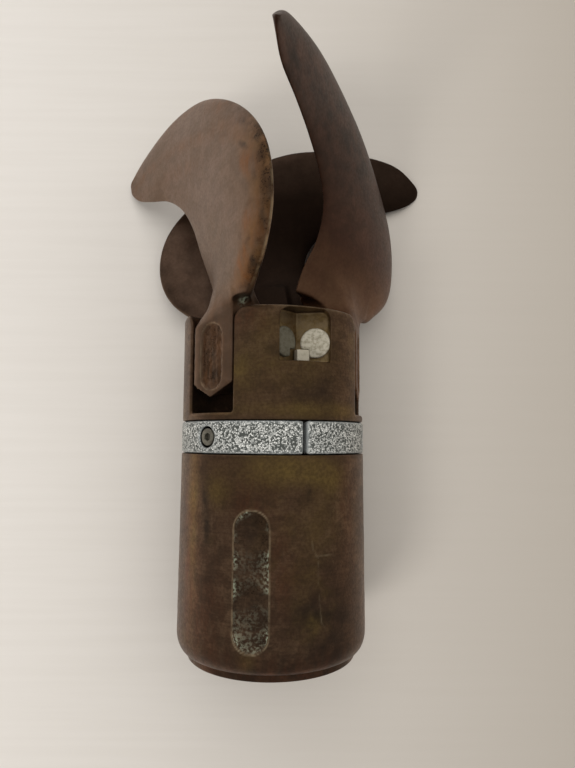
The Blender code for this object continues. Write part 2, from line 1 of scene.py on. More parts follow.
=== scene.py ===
# Folding propeller, lying on a pale table and seen from above.
# Lengths in the dictionaries are millimetres, but metres for materials, table, lights and camera.
# Hub coordinates: x to the right, y aft along the hub's axis, z up. Blade coordinates: u out from
# the hub's axis, v across the blade toward its leading edge, w aft, all with the blade open.
import json
import math

import bmesh
import bpy
import numpy as np
from mathutils import Matrix, Vector


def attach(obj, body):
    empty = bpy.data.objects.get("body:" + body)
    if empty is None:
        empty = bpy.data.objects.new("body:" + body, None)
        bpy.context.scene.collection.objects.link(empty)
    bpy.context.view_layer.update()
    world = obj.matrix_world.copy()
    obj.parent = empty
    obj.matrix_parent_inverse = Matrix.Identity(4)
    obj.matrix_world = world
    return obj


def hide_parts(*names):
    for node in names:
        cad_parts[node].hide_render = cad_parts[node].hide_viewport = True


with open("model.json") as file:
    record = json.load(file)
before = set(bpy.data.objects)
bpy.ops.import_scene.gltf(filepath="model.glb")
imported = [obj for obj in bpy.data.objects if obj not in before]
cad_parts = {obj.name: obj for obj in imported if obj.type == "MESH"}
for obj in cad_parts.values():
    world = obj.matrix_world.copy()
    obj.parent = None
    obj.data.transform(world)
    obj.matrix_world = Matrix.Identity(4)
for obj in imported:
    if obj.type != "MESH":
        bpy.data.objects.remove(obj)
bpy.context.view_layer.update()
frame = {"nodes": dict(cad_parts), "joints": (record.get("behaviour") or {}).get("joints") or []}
mm = 0.001
print("frame loaded:", len(frame["nodes"]), "nodes")


# Where the hub lies: its axis and the three hinges, from the joints themselves
hinges = [(np.array(j["pos_m"]), np.array(j["axis"])) for j in frame["joints"]]
hingeMiddle = np.mean([place for place, _ in hinges], axis=0)
outward = [(place - hingeMiddle) / np.linalg.norm(place - hingeMiddle) for place, _ in hinges]
aft = np.cross(outward[0], hinges[0][1])
aft /= np.linalg.norm(aft)
right = np.array([1.0, 0.0, 0.0])
right -= aft * right.dot(aft)
right /= np.linalg.norm(right)
up = np.cross(right, aft)
hinge = dict(radius=29.2, y=57.8, fold=math.radians(82.0))
hubOrigin = hingeMiddle - aft * hinge["y"] * mm
bladeAngles = [math.atan2(o.dot(right), o.dot(up)) for o in outward]
windowAngles = [a + math.pi / 3 for a in bladeAngles]


# Hub coordinates in millimetres to metres in the row's frame.
def hubToRow(points):
    return hubOrigin + (points * mm) @ np.array([right, aft, up])


# Points seen square on from a direction round the hub's axis, x across and z out, to the same.
def facingToRow(direction, x, y, z):
    c, s = math.cos(direction), math.sin(direction)
    return hubToRow(np.stack([x * c + z * s, y, z * c - x * s], -1))


# An angle about the hub's axis, a place along it and a radius, to the same.
def roundToRow(angle, y, radius):
    return hubToRow(np.stack([radius * np.sin(angle), y, radius * np.cos(angle)], -1))


# One mesh object from whole arrays: faces is rows of four corners, turned outward by its volume,
# and paint holds one value for each point under each attribute's name.
def addPiece(name, points, faces, material, body, slot, *nodes, merge=False, sharp=None, paint=None):
    corners = points[faces]
    normal = np.cross(corners[:, 2] - corners[:, 0], corners[:, 3] - corners[:, 1])
    if np.einsum("ij,ij->", corners.mean(1), normal) < 0:
        faces = faces[:, ::-1]
    mesh = bpy.data.meshes.new(name)
    mesh.vertices.add(len(points))
    mesh.vertices.foreach_set("co", points.astype(np.float32).ravel())
    mesh.loops.add(faces.size)
    mesh.loops.foreach_set("vertex_index", faces.astype(np.int32).ravel())
    mesh.polygons.add(len(faces))
    mesh.polygons.foreach_set("loop_start", np.arange(0, faces.size, 4, dtype=np.int32))
    mesh.update(calc_edges=True)
    for title, values in (paint or {}).items():
        layer = mesh.attributes.new(title, "FLOAT", "POINT")
        layer.data.foreach_set("value", values.astype(np.float32).ravel())
    mesh.validate()
    if merge:
        work = bmesh.new()
        work.from_mesh(mesh)
        bmesh.ops.remove_doubles(work, verts=work.verts, dist=1e-6)
        work.to_mesh(mesh)
        work.free()
    mesh.shade_smooth()
    if sharp is not None:
        mesh.set_sharp_from_angle(angle=math.radians(sharp))
    mesh.materials.append(material)
    piece = bpy.data.objects.new(name, mesh)
    bpy.context.scene.collection.objects.link(piece)
    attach(piece, body)
    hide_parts(*nodes)


# Faces between neighbouring points of a grid whose columns run all the way round.
def gridFaces(rows, columns, closeRows=False):
    i = np.arange(rows if closeRows else rows - 1)[:, None]
    j = np.arange(columns)[None, :]
    a, b = i * columns, (i + 1) % rows * columns
    k = (j + 1) % columns
    return np.stack([a + j, a + k, b + k, b + j], -1).reshape(-1, 4)


# The surface where value, sampled on a grid of three coordinates, is zero. Each cell that it
# crosses gets one point, the mean of the crossings on the cell's edges, and each crossed grid
# edge gets a face between the four cells around it. With wrap the first coordinate runs all the
# way round.
def netSurface(value, wrap=False):
    count = np.array(value.shape)
    cells = count - 1
    if wrap:
        cells[0] = count[0]
    numbers, spots, faces = [], [], []
    for d in range(3):
        e, g = (d + 1) % 3, (d + 2) % 3
        after = np.roll(value, -1, axis=d)
        crossed = (value < 0) != (after < 0)
        if not (wrap and d == 0):
            crossed[(slice(None),) * d + (-1,)] = False
        hit = np.argwhere(crossed)
        first, second = value[crossed], after[crossed]
        spot = hit.astype(float)
        spot[:, d] += first / (first - second)
        ring = []
        for backE, backG in ((1, 1), (0, 1), (0, 0), (1, 0)):
            cell = hit.copy()
            cell[:, e] -= backE
            cell[:, g] -= backG
            spots.append(spot - cell)
            if wrap:
                cell[:, 0] %= count[0]
            ring.append(np.ravel_multi_index(cell.T, cells))
        numbers += ring
        face = np.stack(ring, 1)
        faces.append(np.where((first < 0)[:, None], face, face[:, ::-1]))
    cell, index, tally = np.unique(np.concatenate(numbers), return_inverse=True, return_counts=True)
    spots = np.concatenate(spots)
    local = np.stack([np.bincount(index, weights=spots[:, k]) / tally for k in range(3)], 1)
    points = np.stack(np.unravel_index(cell, cells), 1) + local
    return points, np.searchsorted(cell, np.concatenate(faces))


# netSurface of field(a, b, c) on three rows of coordinates: the points' coordinates, and faces.
def netOnAxes(field, axes, wrap=False):
    points, faces = netSurface(field(*np.meshgrid(*axes, indexing="ij")), wrap)
    spots = []
    for k, axis in enumerate(axes):
        if wrap and k == 0:
            axis = np.append(axis, axis[0] + 2 * math.pi)
        spots.append(np.interp(points[:, k], np.arange(len(axis)), axis))
    return spots, faces


# A value kept between 0 and 1.
def unit(value):
    return np.clip(value, 0, 1)


# The same, eased at both ends.
def eased(value):
    t = unit(value)
    return t * t * (3 - 2 * t)


# A bell curve, exp(-x^2).
def bell(x):
    return np.exp(-x ** 2)


# The smaller of a and b, with the corner between them rounded over about k.
def softMin(a, b, k):
    h = unit(0.5 + 0.5 * (b - a) / k)
    return b * (1 - h) + a * h - k * h * (1 - h)


# The larger of a and b, with the corner between them rounded over about k.
def softMax(a, b, k):
    return -softMin(-a, -b, k)


# Distance from the outline of an oval with straight sides, negative inside.
def stadium(x, y, length, width):
    return np.hypot(np.maximum(np.abs(x) - (length - width) / 2, 0.0), y) - width / 2


# Smooth bumps of about that size: a mean of sine waves in chance directions, from -1 to 1.
def roughness(a, b, c, size, seed, waves=24):
    chance = np.random.default_rng(seed)
    total = 0.0
    for _ in range(waves):
        way = chance.normal(size=3)
        way *= 2 * math.pi / size * chance.uniform(0.6, 1.5) / np.linalg.norm(way)
        total = total + np.sin(a * way[0] + b * way[1] + c * way[2] + chance.uniform(0, 6.28))
    return total / math.sqrt(waves)


# An sRGB colour such as 3a2c20 as linear red, green, blue and alpha.
def tone(hexColor):
    parts = [int(hexColor[i:i + 2], 16) / 255 for i in (0, 2, 4)]
    return [c / 12.92 if c <= 0.04045 else ((c + 0.055) / 1.055) ** 2.4 for c in parts] + [1.0]


# Adds a node and gives one of its outputs. Plain values go to its inputs in order, and named ones
# to its own properties or, with _ for a space, its inputs. A value may be another node's output.
def node(tree, kind, *inputs, out=0, **settings):
    made = tree.nodes.new("ShaderNode" + kind)
    values = list(enumerate(inputs))
    for name, value in settings.items():
        if hasattr(made, name):
            setattr(made, name, value)
        else:
            values.append((name.replace("_", " "), value))
    for name, value in values:
        if isinstance(value, bpy.types.NodeSocket):
            tree.links.new(value, made.inputs[name])
        elif value is not None:
            made.inputs[name].default_value = value
    return made.outputs[out] if made.outputs else None


def newMaterial(name):
    material = bpy.data.materials.new(name)
    material.use_nodes = True
    material.node_tree.nodes.clear()
    return material, material.node_tree, node(material.node_tree, "TexCoord", out="Object")


# The surface's shader and the material's output, with the height, if any, as fine relief.
def finish(tree, height=None, strength=0.35, **settings):
    if height is not None:
        settings["Normal"] = node(tree, "Bump", Strength=strength, Distance=0.0002, Height=height)
    node(tree, "OutputMaterial", node(tree, "BsdfPrincipled", **settings))


# A mask of soft patches: noise of that size in metres, cut between low and high.
def patches(tree, where, size, low, high, detail=4.0, stretch=(1, 1, 1), offset=(0, 0, 0)):
    placed = node(tree, "Mapping", where, Location=offset, Scale=stretch)
    noise = node(tree, "TexNoise", placed, Scale=1 / size, Detail=detail, Roughness=0.6)
    return node(tree, "MapRange", noise, low, high, interpolation_type="SMOOTHSTEP")


# A base colour with coats over it in turn: each a mask, its colour, and a strength or second mask.
def layered(tree, base, *coats):
    color = tone(base)
    for mask, over, *strengths in coats:
        for strength in strengths:
            mask = node(tree, "Math", mask, strength, operation="MULTIPLY")
        color = node(tree, "Mix", mask, *[None] * 5, color, tone(over), out=2, data_type="RGBA")
    return color


# Masks in the bronze's skin, by the size of their patches
skin = dict(
    broad=dict(size=0.050, low=0.30, high=0.70),
    cloud=dict(size=0.010, low=0.44, high=0.58, detail=9.0, stretch=(1, 1.5, 1), offset=(2, 6, 4)),
    drawn=dict(size=0.0040, low=0.42, high=0.58, detail=9.0, stretch=(1, 0.35, 1), offset=(6, 3, 5)),
    turned=dict(size=0.0024, low=0.42, high=0.62, detail=3.0, stretch=(0.12, 2.2, 0.12), offset=(8, 8, 2)),
    ragged=dict(size=0.011, low=0.20, high=0.75, detail=6.0, offset=(3, 1, 2)),
    stray=dict(size=0.035, low=0.55, high=0.72, offset=(7, 5, 1)),
    streaks=dict(size=0.0045, low=0.25, high=0.80, detail=5.0, stretch=(1, 0.3, 1), offset=(1, 4, 9)),
    grain=dict(size=0.0016, low=0.30, high=0.70, detail=3.0),
    eaten=dict(size=0.010, low=0.38, high=0.62, offset=(4, 4, 1)),
    holes=dict(size=0.0010, low=0.54, high=0.64, offset=(5, 2, 8)),
    handled=dict(size=0.006, low=0.28, high=0.62, offset=(2, 2, 2)),
    crust=dict(size=0.0016, low=0.42, high=0.60, offset=(9, 9, 9)),
)
painted = ("brassAndLight", "sootAndShade", "copper", "pitted", "worn", "green")


# Cast manganese bronze that has browned in sea water: a dark oxide skin in clouds and drawn-out
# stains, brass-coloured stains and painted light where the brass-and-light attribute says, sooty
# stains and painted shade where the soot-and-shade one does, copper red with black pits where
# "copper" and "pitted" do, rubbed bright along "worn" edges and on proud corners, and crusted with
# dull verdigris where "green" does.
def patinaBronze(name, look):
    material, tree, where = newMaterial(name)
    mask = {title: patches(tree, where, **values) for title, values in skin.items()}
    paint = {title: node(tree, "Attribute", attribute_name=title, out="Fac") for title in painted}
    stray = node(tree, "Math", mask["stray"], look["stray"], operation="MULTIPLY")
    brassAndLit = node(tree, "Math", paint["brassAndLight"], stray, operation="ADD", use_clamp=True)
    broken = node(tree, "MapRange", mask["ragged"], To_Min=look["brokenLow"], To_Max=1.0)
    thinned = node(tree, "MapRange", mask["ragged"], *look["thinned"], interpolation_type="SMOOTHSTEP")
    etched = node(tree, "Math", paint["pitted"], mask["eaten"], operation="MULTIPLY")
    pits = node(tree, "Math", mask["holes"], etched, operation="MULTIPLY")
    proud = node(tree, "NewGeometry", out="Pointiness")
    proud = node(tree, "MapRange", proud, *look["proud"], interpolation_type="SMOOTHSTEP")
    rubbed = node(tree, "Math", proud, look["wear"], operation="MULTIPLY")
    rubbed = node(tree, "Math", rubbed, paint["worn"], operation="ADD", use_clamp=True)
    green = node(tree, "Math", paint["green"], mask["crust"], operation="MULTIPLY")
    color = layered(
        tree, look["base"],
        (mask["broad"], look["second"]),
        (mask["cloud"], look["dim"], look["mottle"]),
        (mask["drawn"], look["second"], look["drawn"]),
        (mask["turned"], look["dim"], look["turned"]),
        (brassAndLit, look["brassAndLit"], broken),
        (paint["sootAndShade"], look["sootAndShadeTone"], thinned),
        (paint["copper"], look["copper"], mask["streaks"]),
        (mask["grain"], look["dim"], look["grain"]),
        (etched, look["hollow"], look["etch"]),
        (pits, look["pit"]),
        (rubbed, look["worn"], mask["handled"]),
        (green, look["verdigris"]),
    )
    rough = node(tree, "MapRange", mask["grain"], To_Min=look["rough"] - 0.04, To_Max=look["rough"] + 0.06)
    dull = node(tree, "Math", green, look["greenDull"], operation="MULTIPLY")
    rough = node(tree, "Math", rough, dull, operation="ADD", use_clamp=True)
    covered = node(tree, "Math", green, look["greenCover"], operation="MULTIPLY")
    metal = node(tree, "Math", look["metal"], covered, operation="SUBTRACT", use_clamp=True)
    fine = node(tree, "TexNoise", where, Scale=1 / look["fine"], Detail=4.0)
    sunk = node(tree, "Math", pits, look["pitDepth"], operation="MULTIPLY")
    height = node(tree, "Math", fine, sunk, operation="SUBTRACT")
    finish(tree, height, look["bump"], Base_Color=color, Roughness=rough, Metallic=metal)
    return material


# Bare machined metal with stains of that size in metres, dark olive where its soot-and-shade
# attribute says: painted shade on one end of each pin.
def plainMetal(name, base, dirt, share, rough, size=0.004, metal=1.0):
    material, tree, where = newMaterial(name)
    sootAndShade = node(tree, "Attribute", attribute_name="sootAndShade", out="Fac")
    stained = patches(tree, where, size, 0.4, 0.7)
    color = layered(tree, base, (stained, dirt, share), (sootAndShade, "4a4635"))
    fine = node(tree, "TexNoise", where, Scale=1 / 0.0008, Detail=3.0)
    finish(tree, fine, Base_Color=color, Roughness=rough, Metallic=metal)
    return material


corroded = dict(
    crystal=0.0008, warp=0.0016, bend=0.0010, dirt=0.0035, bright="f2f2ec", pale="8c8f8c", gap="50534f",
    smooth="a9adac", sootAndShadeTone="242422", rough=0.5, metal=0.35,
)


# Sacrificial anode casting, eaten into bright crystals under a millimetre across, with dark
# gaps between them, evenly grey where "smooth" says, and black as painted shade inside the
# counterbores, where its soot-and-shade attribute says.
def anodeMetal(name):
    c = corroded
    material, tree, where = newMaterial(name)
    warp = node(tree, "TexNoise", where, Scale=1 / c["warp"], Detail=3.0, out="Color")
    shift = node(tree, "VectorMath", warp, operation="SCALE", Scale=c["bend"])
    bent = node(tree, "VectorMath", where, shift, operation="ADD")
    cells = dict(Scale=1 / c["crystal"], Randomness=1.0)
    pick = node(tree, "SeparateColor", node(tree, "TexVoronoi", bent, **cells, out="Color"))
    rim = node(tree, "TexVoronoi", bent, **cells, feature="DISTANCE_TO_EDGE", out="Distance")
    gap = node(tree, "MapRange", rim, 0.14, 0.03, interpolation_type="SMOOTHSTEP")
    lost = node(tree, "MapRange", pick, 0.42, 0.30, interpolation_type="SMOOTHSTEP")
    dark = node(tree, "Math", gap, lost, operation="MAXIMUM")
    dirt = patches(tree, where, c["dirt"], 0.15, 0.45, offset=(1, 2, 3))
    dark = node(tree, "Math", dark, dirt, operation="MULTIPLY")
    plain, sootAndShade = (node(tree, "Attribute", attribute_name=title, out="Fac") for title in ("smooth", "sootAndShade"))
    bright = node(tree, "MapRange", pick, 0.25, 0.8)
    color = layered(tree, c["pale"], (bright, c["bright"]), (dark, c["gap"]), (plain, c["smooth"]),
                    (sootAndShade, c["sootAndShadeTone"]))
    relief = node(tree, "Math", pick, dark, operation="SUBTRACT")
    rest = node(tree, "Math", 1.0, plain, operation="SUBTRACT")
    height = node(tree, "Math", relief, rest, operation="MULTIPLY")
    finish(tree, height, Base_Color=color, Roughness=c["rough"], Metallic=c["metal"])
    return material


# Moulded nitrile rubber, matt and faintly clouded. Its patches are a centimetre across.
def rubber(name):
    material, tree, where = newMaterial(name)
    color = layered(tree, "17181a", (patches(tree, where, 0.01, 0.3, 0.7), "26272a"))
    finish(tree, Base_Color=color, Roughness=0.75)
    return material


hubLook = dict(
    base="8c6f56", second="6a503e", dim="4a3a2e", brassAndLit="957b48", sootAndShadeTone="302d28", copper="7e4a33",
    worn="c4ae8c", hollow="2b1e14", pit="120c08", verdigris="858a76", mottle=0.55, drawn=0.55, turned=0.22,
    stray=0.35, grain=0.40, etch=0.6, wear=0.4, rough=0.42, metal=0.95, bump=0.45,
    brokenLow=0.45, thinned=(1.3, -0.3), proud=(0.535, 0.62), fine=0.0010, pitDepth=1.5, greenDull=0.3,
    greenCover=0.8,
)
smoother = dict(mottle=0.35, drawn=0.35, turned=0.0, stray=0.15, grain=0.10, wear=0.2, bump=0.06)
taupe = dict(base="8d7566", second="7d6450", dim="64503f", brassAndLit="8a643a", copper="8c5a30")
umber = dict(base="644537", second="51362a", dim="382920", brassAndLit="8a684e", copper="7c4a2c", sootAndShadeTone="241912")
# The bottom blade's darker copy of the bronze is painted shade, for the shadow of the two blades above it.
shaded = dict(base="34261d", second="2c2018", dim="2a1e17", brassAndLit="765e4e", copper="5c4030", stray=0.0)

hubBronze = patinaBronze("bronze_brown_patina", hubLook)
bladeBronzes = [patinaBronze(f"bronze_{name}_patina", {**hubLook, **smoother, **look})
                for name, look in (("taupe", taupe), ("umber", umber), ("shaded", shaded))]
sleeveBronze = plainMetal("bronze_machined", "a68a58", "5a4830", 0.6, 0.42)
steel = plainMetal("steel_stainless_turned", "bfb8a6", "7c745e", 0.7, 0.5, size=0.0018, metal=0.5)
screwSteel = plainMetal("steel_screw_dulled", "8d897c", "57524a", 0.6, 0.45, size=0.0018, metal=0.8)
keySteel = plainMetal("steel_key_ground", "bfb7a4", "8f8670", 0.5, 0.5, metal=0.5)
anode = anodeMetal("zinc_anode_corroded")
blackRubber = rubber("rubber_nitrile")
print("materials made")


# Stains on the hub, and one band of painted shade: degrees round from the top, place along the axis,
# half width in degrees, half length, strength
stains = dict(
    brassAndLight=(
        (22, -8, 15, 7, 1.0), (36, -13, 10, 9, 0.8), (0, -7, 18, 9, 0.8), (-31, -18, 8, 8, 0.9),
        (-52, -20, 5, 28, 0.9), (-51, -62, 4, 35, 0.35), (28, -36, 13, 14, 0.5), (24, -82, 4, 4, 0.8),
        (-12, -100, 5, 6, 0.4), (15, 50, 30, 24, 0.4), (16, 22, 26, 4, 0.8), (-3, 63, 9, 9, 0.3),
        (-18, 42, 9, 12, 0.5), (-32, 22, 14, 3, 0.5), (48, 22, 14, 4, 0.5), (150, -40, 30, 30, 0.5),
        (-120, -70, 25, 25, 0.5), (180, 40, 30, 15, 0.5),
    ),
    copper=(
        (-54, -45, 7, 45, 0.8), (-10, -24, 10, 12, 0.5), (5, -56, 8, 20, 0.5), (-40, -80, 12, 25, 0.5),
        (-15, 68, 12, 7, 0.5), (0, -106, 60, 8, 0.5), (-36, 45, 6, 25, 0.4), (50, -30, 10, 30, 0.3),
        (-90, -50, 12, 40, 0.5), (100, -80, 30, 20, 0.5), (170, -90, 30, 20, 0.5),
    ),
    sootAndShade=(
        (-38, -68, 9, 34, 0.5), (-41, -14, 2.6, 17, 1.0), (-38, -38, 2.2, 10, 0.9), (28, 31, 12, 8, 0.7),
        # (0, -107, 90, 9, 1.0) is painted shade, darkening the front shoulder all round where it faces the
        # table.
        (19, -76, 12, 14, 0.5), (-3, 55, 10, 8, 0.4), (0, -107, 90, 9, 1.0), (33, -90, 18, 18, 0.9),
        (22, -19, 1.6, 5, 0.8), (60, -60, 9, 30, 0.3), (40, -80, 10, 16, 0.3), (-20, 50, 10, 18, 0.3),
        (120, -20, 20, 20, 0.6), (-150, -90, 20, 20, 0.6),
    ),
)


# Degrees from one angle to another, the short way round.
def turnFrom(angle, degrees):
    return np.mod(np.degrees(angle) - degrees + 180, 360) - 180


# Sum of the stains' bell curves, exp(-(turn / half width)^2 - (distance along / half length)^2).
def stain(kind, angle, y):
    total = 0.0
    for at, place, wide, long, strength in stains[kind]:
        total = total + strength * np.exp(-(turnFrom(angle, at) / wide) ** 2 - ((y - place) / long) ** 2)
    return unit(total)


# Fine light scratches on the barrel, each a polyline of degrees and places along the axis
scratches = (
    ((27.3, -53), (26.9, -60), (27.5, -67), (28.2, -75), (29.3, -83), (33, -87), (39, -93)),
    ((25.4, -50), (32, -50.3), (39, -51)), ((27, -51), (24, -47), (23.5, -43)),
)
scratchWidth = 0.35


# Share of a scratch at each point: exp(-(distance to the nearest run / its width)^2).
def scratched(angle, y, radius):
    best = 1e9
    for line in scratches:
        for (a0, y0), (a1, y1) in zip(line, line[1:]):
            x = np.radians(turnFrom(angle, a0)) * radius
            dx, dy = math.radians(a1 - a0) * radius, y1 - y0
            h = unit((x * dx + (y - y0) * dy) / (dx ** 2 + dy ** 2))
            best = np.minimum(best, np.hypot(x - h * dx, y - y0 - h * dy))
    return bell(best / scratchWidth)


# Barrel: a profile turned about the hub's axis, its outer face let in by the casting recess
barrel = dict(
    columns=440, crowding=0.4, radius=52.0, frontRadius=52.7, frontY=-111.0, lipRadius=46.6, lipY=-107.2,
    shoulderY=-97.0, shoulderStep=0.5, grooveY=-0.6, grooveRadius=42.0, joinY=8.5, overlap=0.02,
    bore=40.0, webY=-12.0, centreBore=22.0, recessAngle=math.radians(-10.2), recessY=-62.0,
    recessLength=67.6, recessWidth=17.2, recessDepth=0.6, recessWall=0.6, rimHeight=0.3, rimWidth=0.55,
    rimPlace=0.5, skin=1.5,
    gritHeight=0.10, gritSize=2.6, lumpHeight=0.06, lumpSize=6.0, waveHeight=0.04, waveSize=18.0,
    crustFrom=-84.0, crustFade=10.0, crustReach=1.3, spotSize=16.0, wornShare=0.9, wornPlace=0.6,
    wornWidth=0.35, scratchShare=0.35,
)


# Closed path through corners (radius, y, rounding, step): each corner becomes a quadratic arc
# over its rounding, and the straight runs are cut into steps.
def roundedPath(corners):
    points = []
    total = len(corners)
    for i in range(total):
        before, here, after = (np.array(corners[(i + n) % total][:2]) for n in (-1, 0, 1))
        cut = corners[i][2]
        start = here + (before - here) / np.linalg.norm(before - here) * cut
        end = here + (after - here) / np.linalg.norm(after - here) * cut
        t = np.linspace(0, 1, 4)[:, None] if cut > 0 else np.zeros((1, 1))
        points.append((1 - t) ** 2 * start + 2 * t * (1 - t) * here + t ** 2 * end)
        nextCut = corners[(i + 1) % total][2]
        goal = after + (here - after) / np.linalg.norm(here - after) * nextCut
        pieces = max(int(np.linalg.norm(goal - end) / corners[i][3]), 1)
        points.append(end + (goal - end) * np.arange(1, pieces)[:, None] / pieces)
    return np.vstack(points)


# Corners of the barrel's profile, from the bore's front edge out, back and in again. The shoulder
# behind the front lip is a quarter of an ellipse.
def barrelPath():
    b = barrel
    turn = np.linspace(0, math.pi / 2, 9)
    inner = b["lipRadius"] + b["shoulderStep"]
    shoulderR = inner + (b["frontRadius"] - b["lipRadius"] - b["shoulderStep"]) * np.sin(turn)
    shoulderY = b["shoulderY"] - (b["shoulderY"] - b["lipY"]) * np.cos(turn)
    shoulder = [(r, y, 0.0, 0.8) for r, y in zip(shoulderR, shoulderY)]
    return [
        (b["bore"], b["frontY"], 0.8, 2.0),
        (b["lipRadius"], b["frontY"], 0.7, 0.8),
        (b["lipRadius"], b["lipY"], 0.0, 0.8),
        *shoulder,
        (b["radius"], b["grooveY"], 0.7, 0.75),
        (b["grooveRadius"], b["grooveY"], 0.0, 3.0),
        (b["grooveRadius"], b["joinY"] - b["overlap"], 0.0, 4.0),
        (b["centreBore"], b["joinY"] - b["overlap"], 0.0, 4.0),
        (b["centreBore"], b["webY"], 0.5, 4.0),
        (b["bore"], b["webY"], 1.0, 4.0),
    ]


# Radius = profile radius, less the recess's depth eased in over its wall, plus a low rim
# that is a bell curve of the distance from the recess's outline.
def buildBarrel():
    b = barrel
    path = roundedPath(barrelPath())
    angle = np.linspace(0, 2 * math.pi, b["columns"], endpoint=False)
    angle = b["recessAngle"] + angle - b["crowding"] * np.sin(angle)  # closer together near the recess
    radius = np.repeat(path[:, :1], b["columns"], 1)
    y = np.repeat(path[:, 1:], b["columns"], 1)
    turn = angle[None, :] + 0 * y
    around = (np.mod(turn - b["recessAngle"] + math.pi, 2 * math.pi) - math.pi) * b["radius"]

    def bumps(size, seed):
        return roughness(around, y, 0 * y, size, seed)

    distance = stadium(y - b["recessY"], around, b["recessLength"], b["recessWidth"])
    let = eased(-distance / b["recessWall"])
    floor = b["gritHeight"] * bumps(b["gritSize"], 3) + b["lumpHeight"] * bumps(b["lumpSize"], 4)
    outer = radius > b["radius"] - b["skin"]
    rim = bell((distance - b["rimPlace"]) / b["rimWidth"])
    change = (floor - b["recessDepth"]) * let + b["rimHeight"] * rim
    change += b["waveHeight"] * bumps(b["waveSize"], 5)
    radius = np.where(outer, radius + change, radius)
    inside, low = distance < 0, unit((b["crustFrom"] - y) / b["crustFade"])
    edges = b["wornShare"] * bell((distance - b["wornPlace"]) / b["wornWidth"])
    spotty = unit(0.5 + 0.8 * bumps(b["spotSize"], 6))
    crust = inside * (np.exp(distance / b["crustReach"]) * spotty * 0.9 + low * 0.55 + 0.25 * spotty)
    marks = b["scratchShare"] * spotty * scratched(turn, y, b["radius"])
    paint = dict(
        brassAndLight=stain("brassAndLight", turn, y) * ~inside,
        sootAndShade=np.maximum(stain("sootAndShade", turn, y), 0.65 * inside),
        copper=stain("copper", turn, y) * ~inside,
        pitted=0.5 * inside,
        worn=outer * np.maximum(edges, marks),
        green=unit(crust) * outer,
    )
    points = roundToRow(turn, y, radius).reshape(-1, 3)
    faces = gridFaces(len(path), b["columns"], closeRows=True)
    addPiece("hubBarrel", points, faces, hubBronze, "hub", "hub_bronze", "hub_casting", paint=paint)


buildBarrel()
print("barrel made")


# Blade carrier: ring with three slots, three pin windows and the pin bores
carrier = dict(
    step=0.86, radius=51.8, frontY=17.1, grooveRadius=42.0, joinY=8.5, rimY=76.0, bore=22.0, edge=1.2,
    slotHalf=15.7, slotFloor=21.0, slotMouth=8.5, slotRound=1.5, windowLeft=13.2, windowRight=14.9,
    windowFront=47.4, windowBack=74.6, windowRound=4.5, windowEdge=0.9, windowFloor=38.1, floorSlope=0.577,
    floorLean=0.866, floorEdge=0.5, pinBore=8.2, boreEnd=28.5, boreEdge=0.6, skin=1.5, rubWidth=1.1,
    floorSpare=0.4,
)


# Across and up from the hub's axis, for a point seen square on from that direction.
def seenFrom(direction, angle, radius):
    return radius * np.sin(angle - direction), radius * np.cos(angle - direction)


# Distance from the carrier's surface, negative inside: a ring, less what is in a slot, a window
# or a bore. Each cut's edge is rounded. A slot flares over its mouth in a quarter circle, and a
# window's floor is a V that falls to both sides, square to the two pins.
def carrierField(angle, y, radius):
    c = carrier
    ring = softMax(radius - c["radius"], c["frontY"] - y, c["edge"])
    neck = np.maximum(radius - c["grooveRadius"], c["joinY"] - y)
    value = np.minimum(ring, neck)
    value = softMax(value, y - c["rimY"], 2 * c["edge"])
    value = softMax(value, c["bore"] - radius, c["edge"])
    for direction in bladeAngles:
        x, z = seenFrom(direction, angle, radius)
        beside = np.abs(x) - c["slotHalf"]
        mouth = np.maximum(y - (c["rimY"] - c["slotMouth"]), 0.0)
        flare = c["slotMouth"] - np.sqrt(np.maximum(c["slotMouth"] ** 2 - mouth ** 2, 0.0))
        slot = softMax(beside - flare, c["slotFloor"] - y, c["slotRound"])
        slot = np.maximum(slot, -z)
        value = softMax(value, -slot, c["edge"])
        bore = np.hypot(z - hinge["radius"], y - hinge["y"]) - c["pinBore"]
        bore = np.maximum(bore, np.abs(x) - c["boreEnd"])
        value = softMax(value, -np.maximum(bore, -z), c["boreEdge"])
    middle, half = (c["windowFront"] + c["windowBack"]) / 2, (c["windowBack"] - c["windowFront"]) / 2
    r = c["windowRound"]
    for direction in windowAngles:
        x, z = seenFrom(direction, angle, radius)
        side = np.where(x > 0, x - c["windowRight"], -x - c["windowLeft"])
        end = np.abs(y - middle) - half
        back = np.hypot(np.maximum(side + r, 0), np.maximum(end + r, 0)) - r
        window = np.where(y > middle, back, np.maximum(side, end))
        floor = (c["windowFloor"] + c["floorSlope"] * np.abs(x) - z) * c["floorLean"]
        window = softMax(window, floor, c["floorEdge"])
        value = softMax(value, -window, c["windowEdge"])
    return value


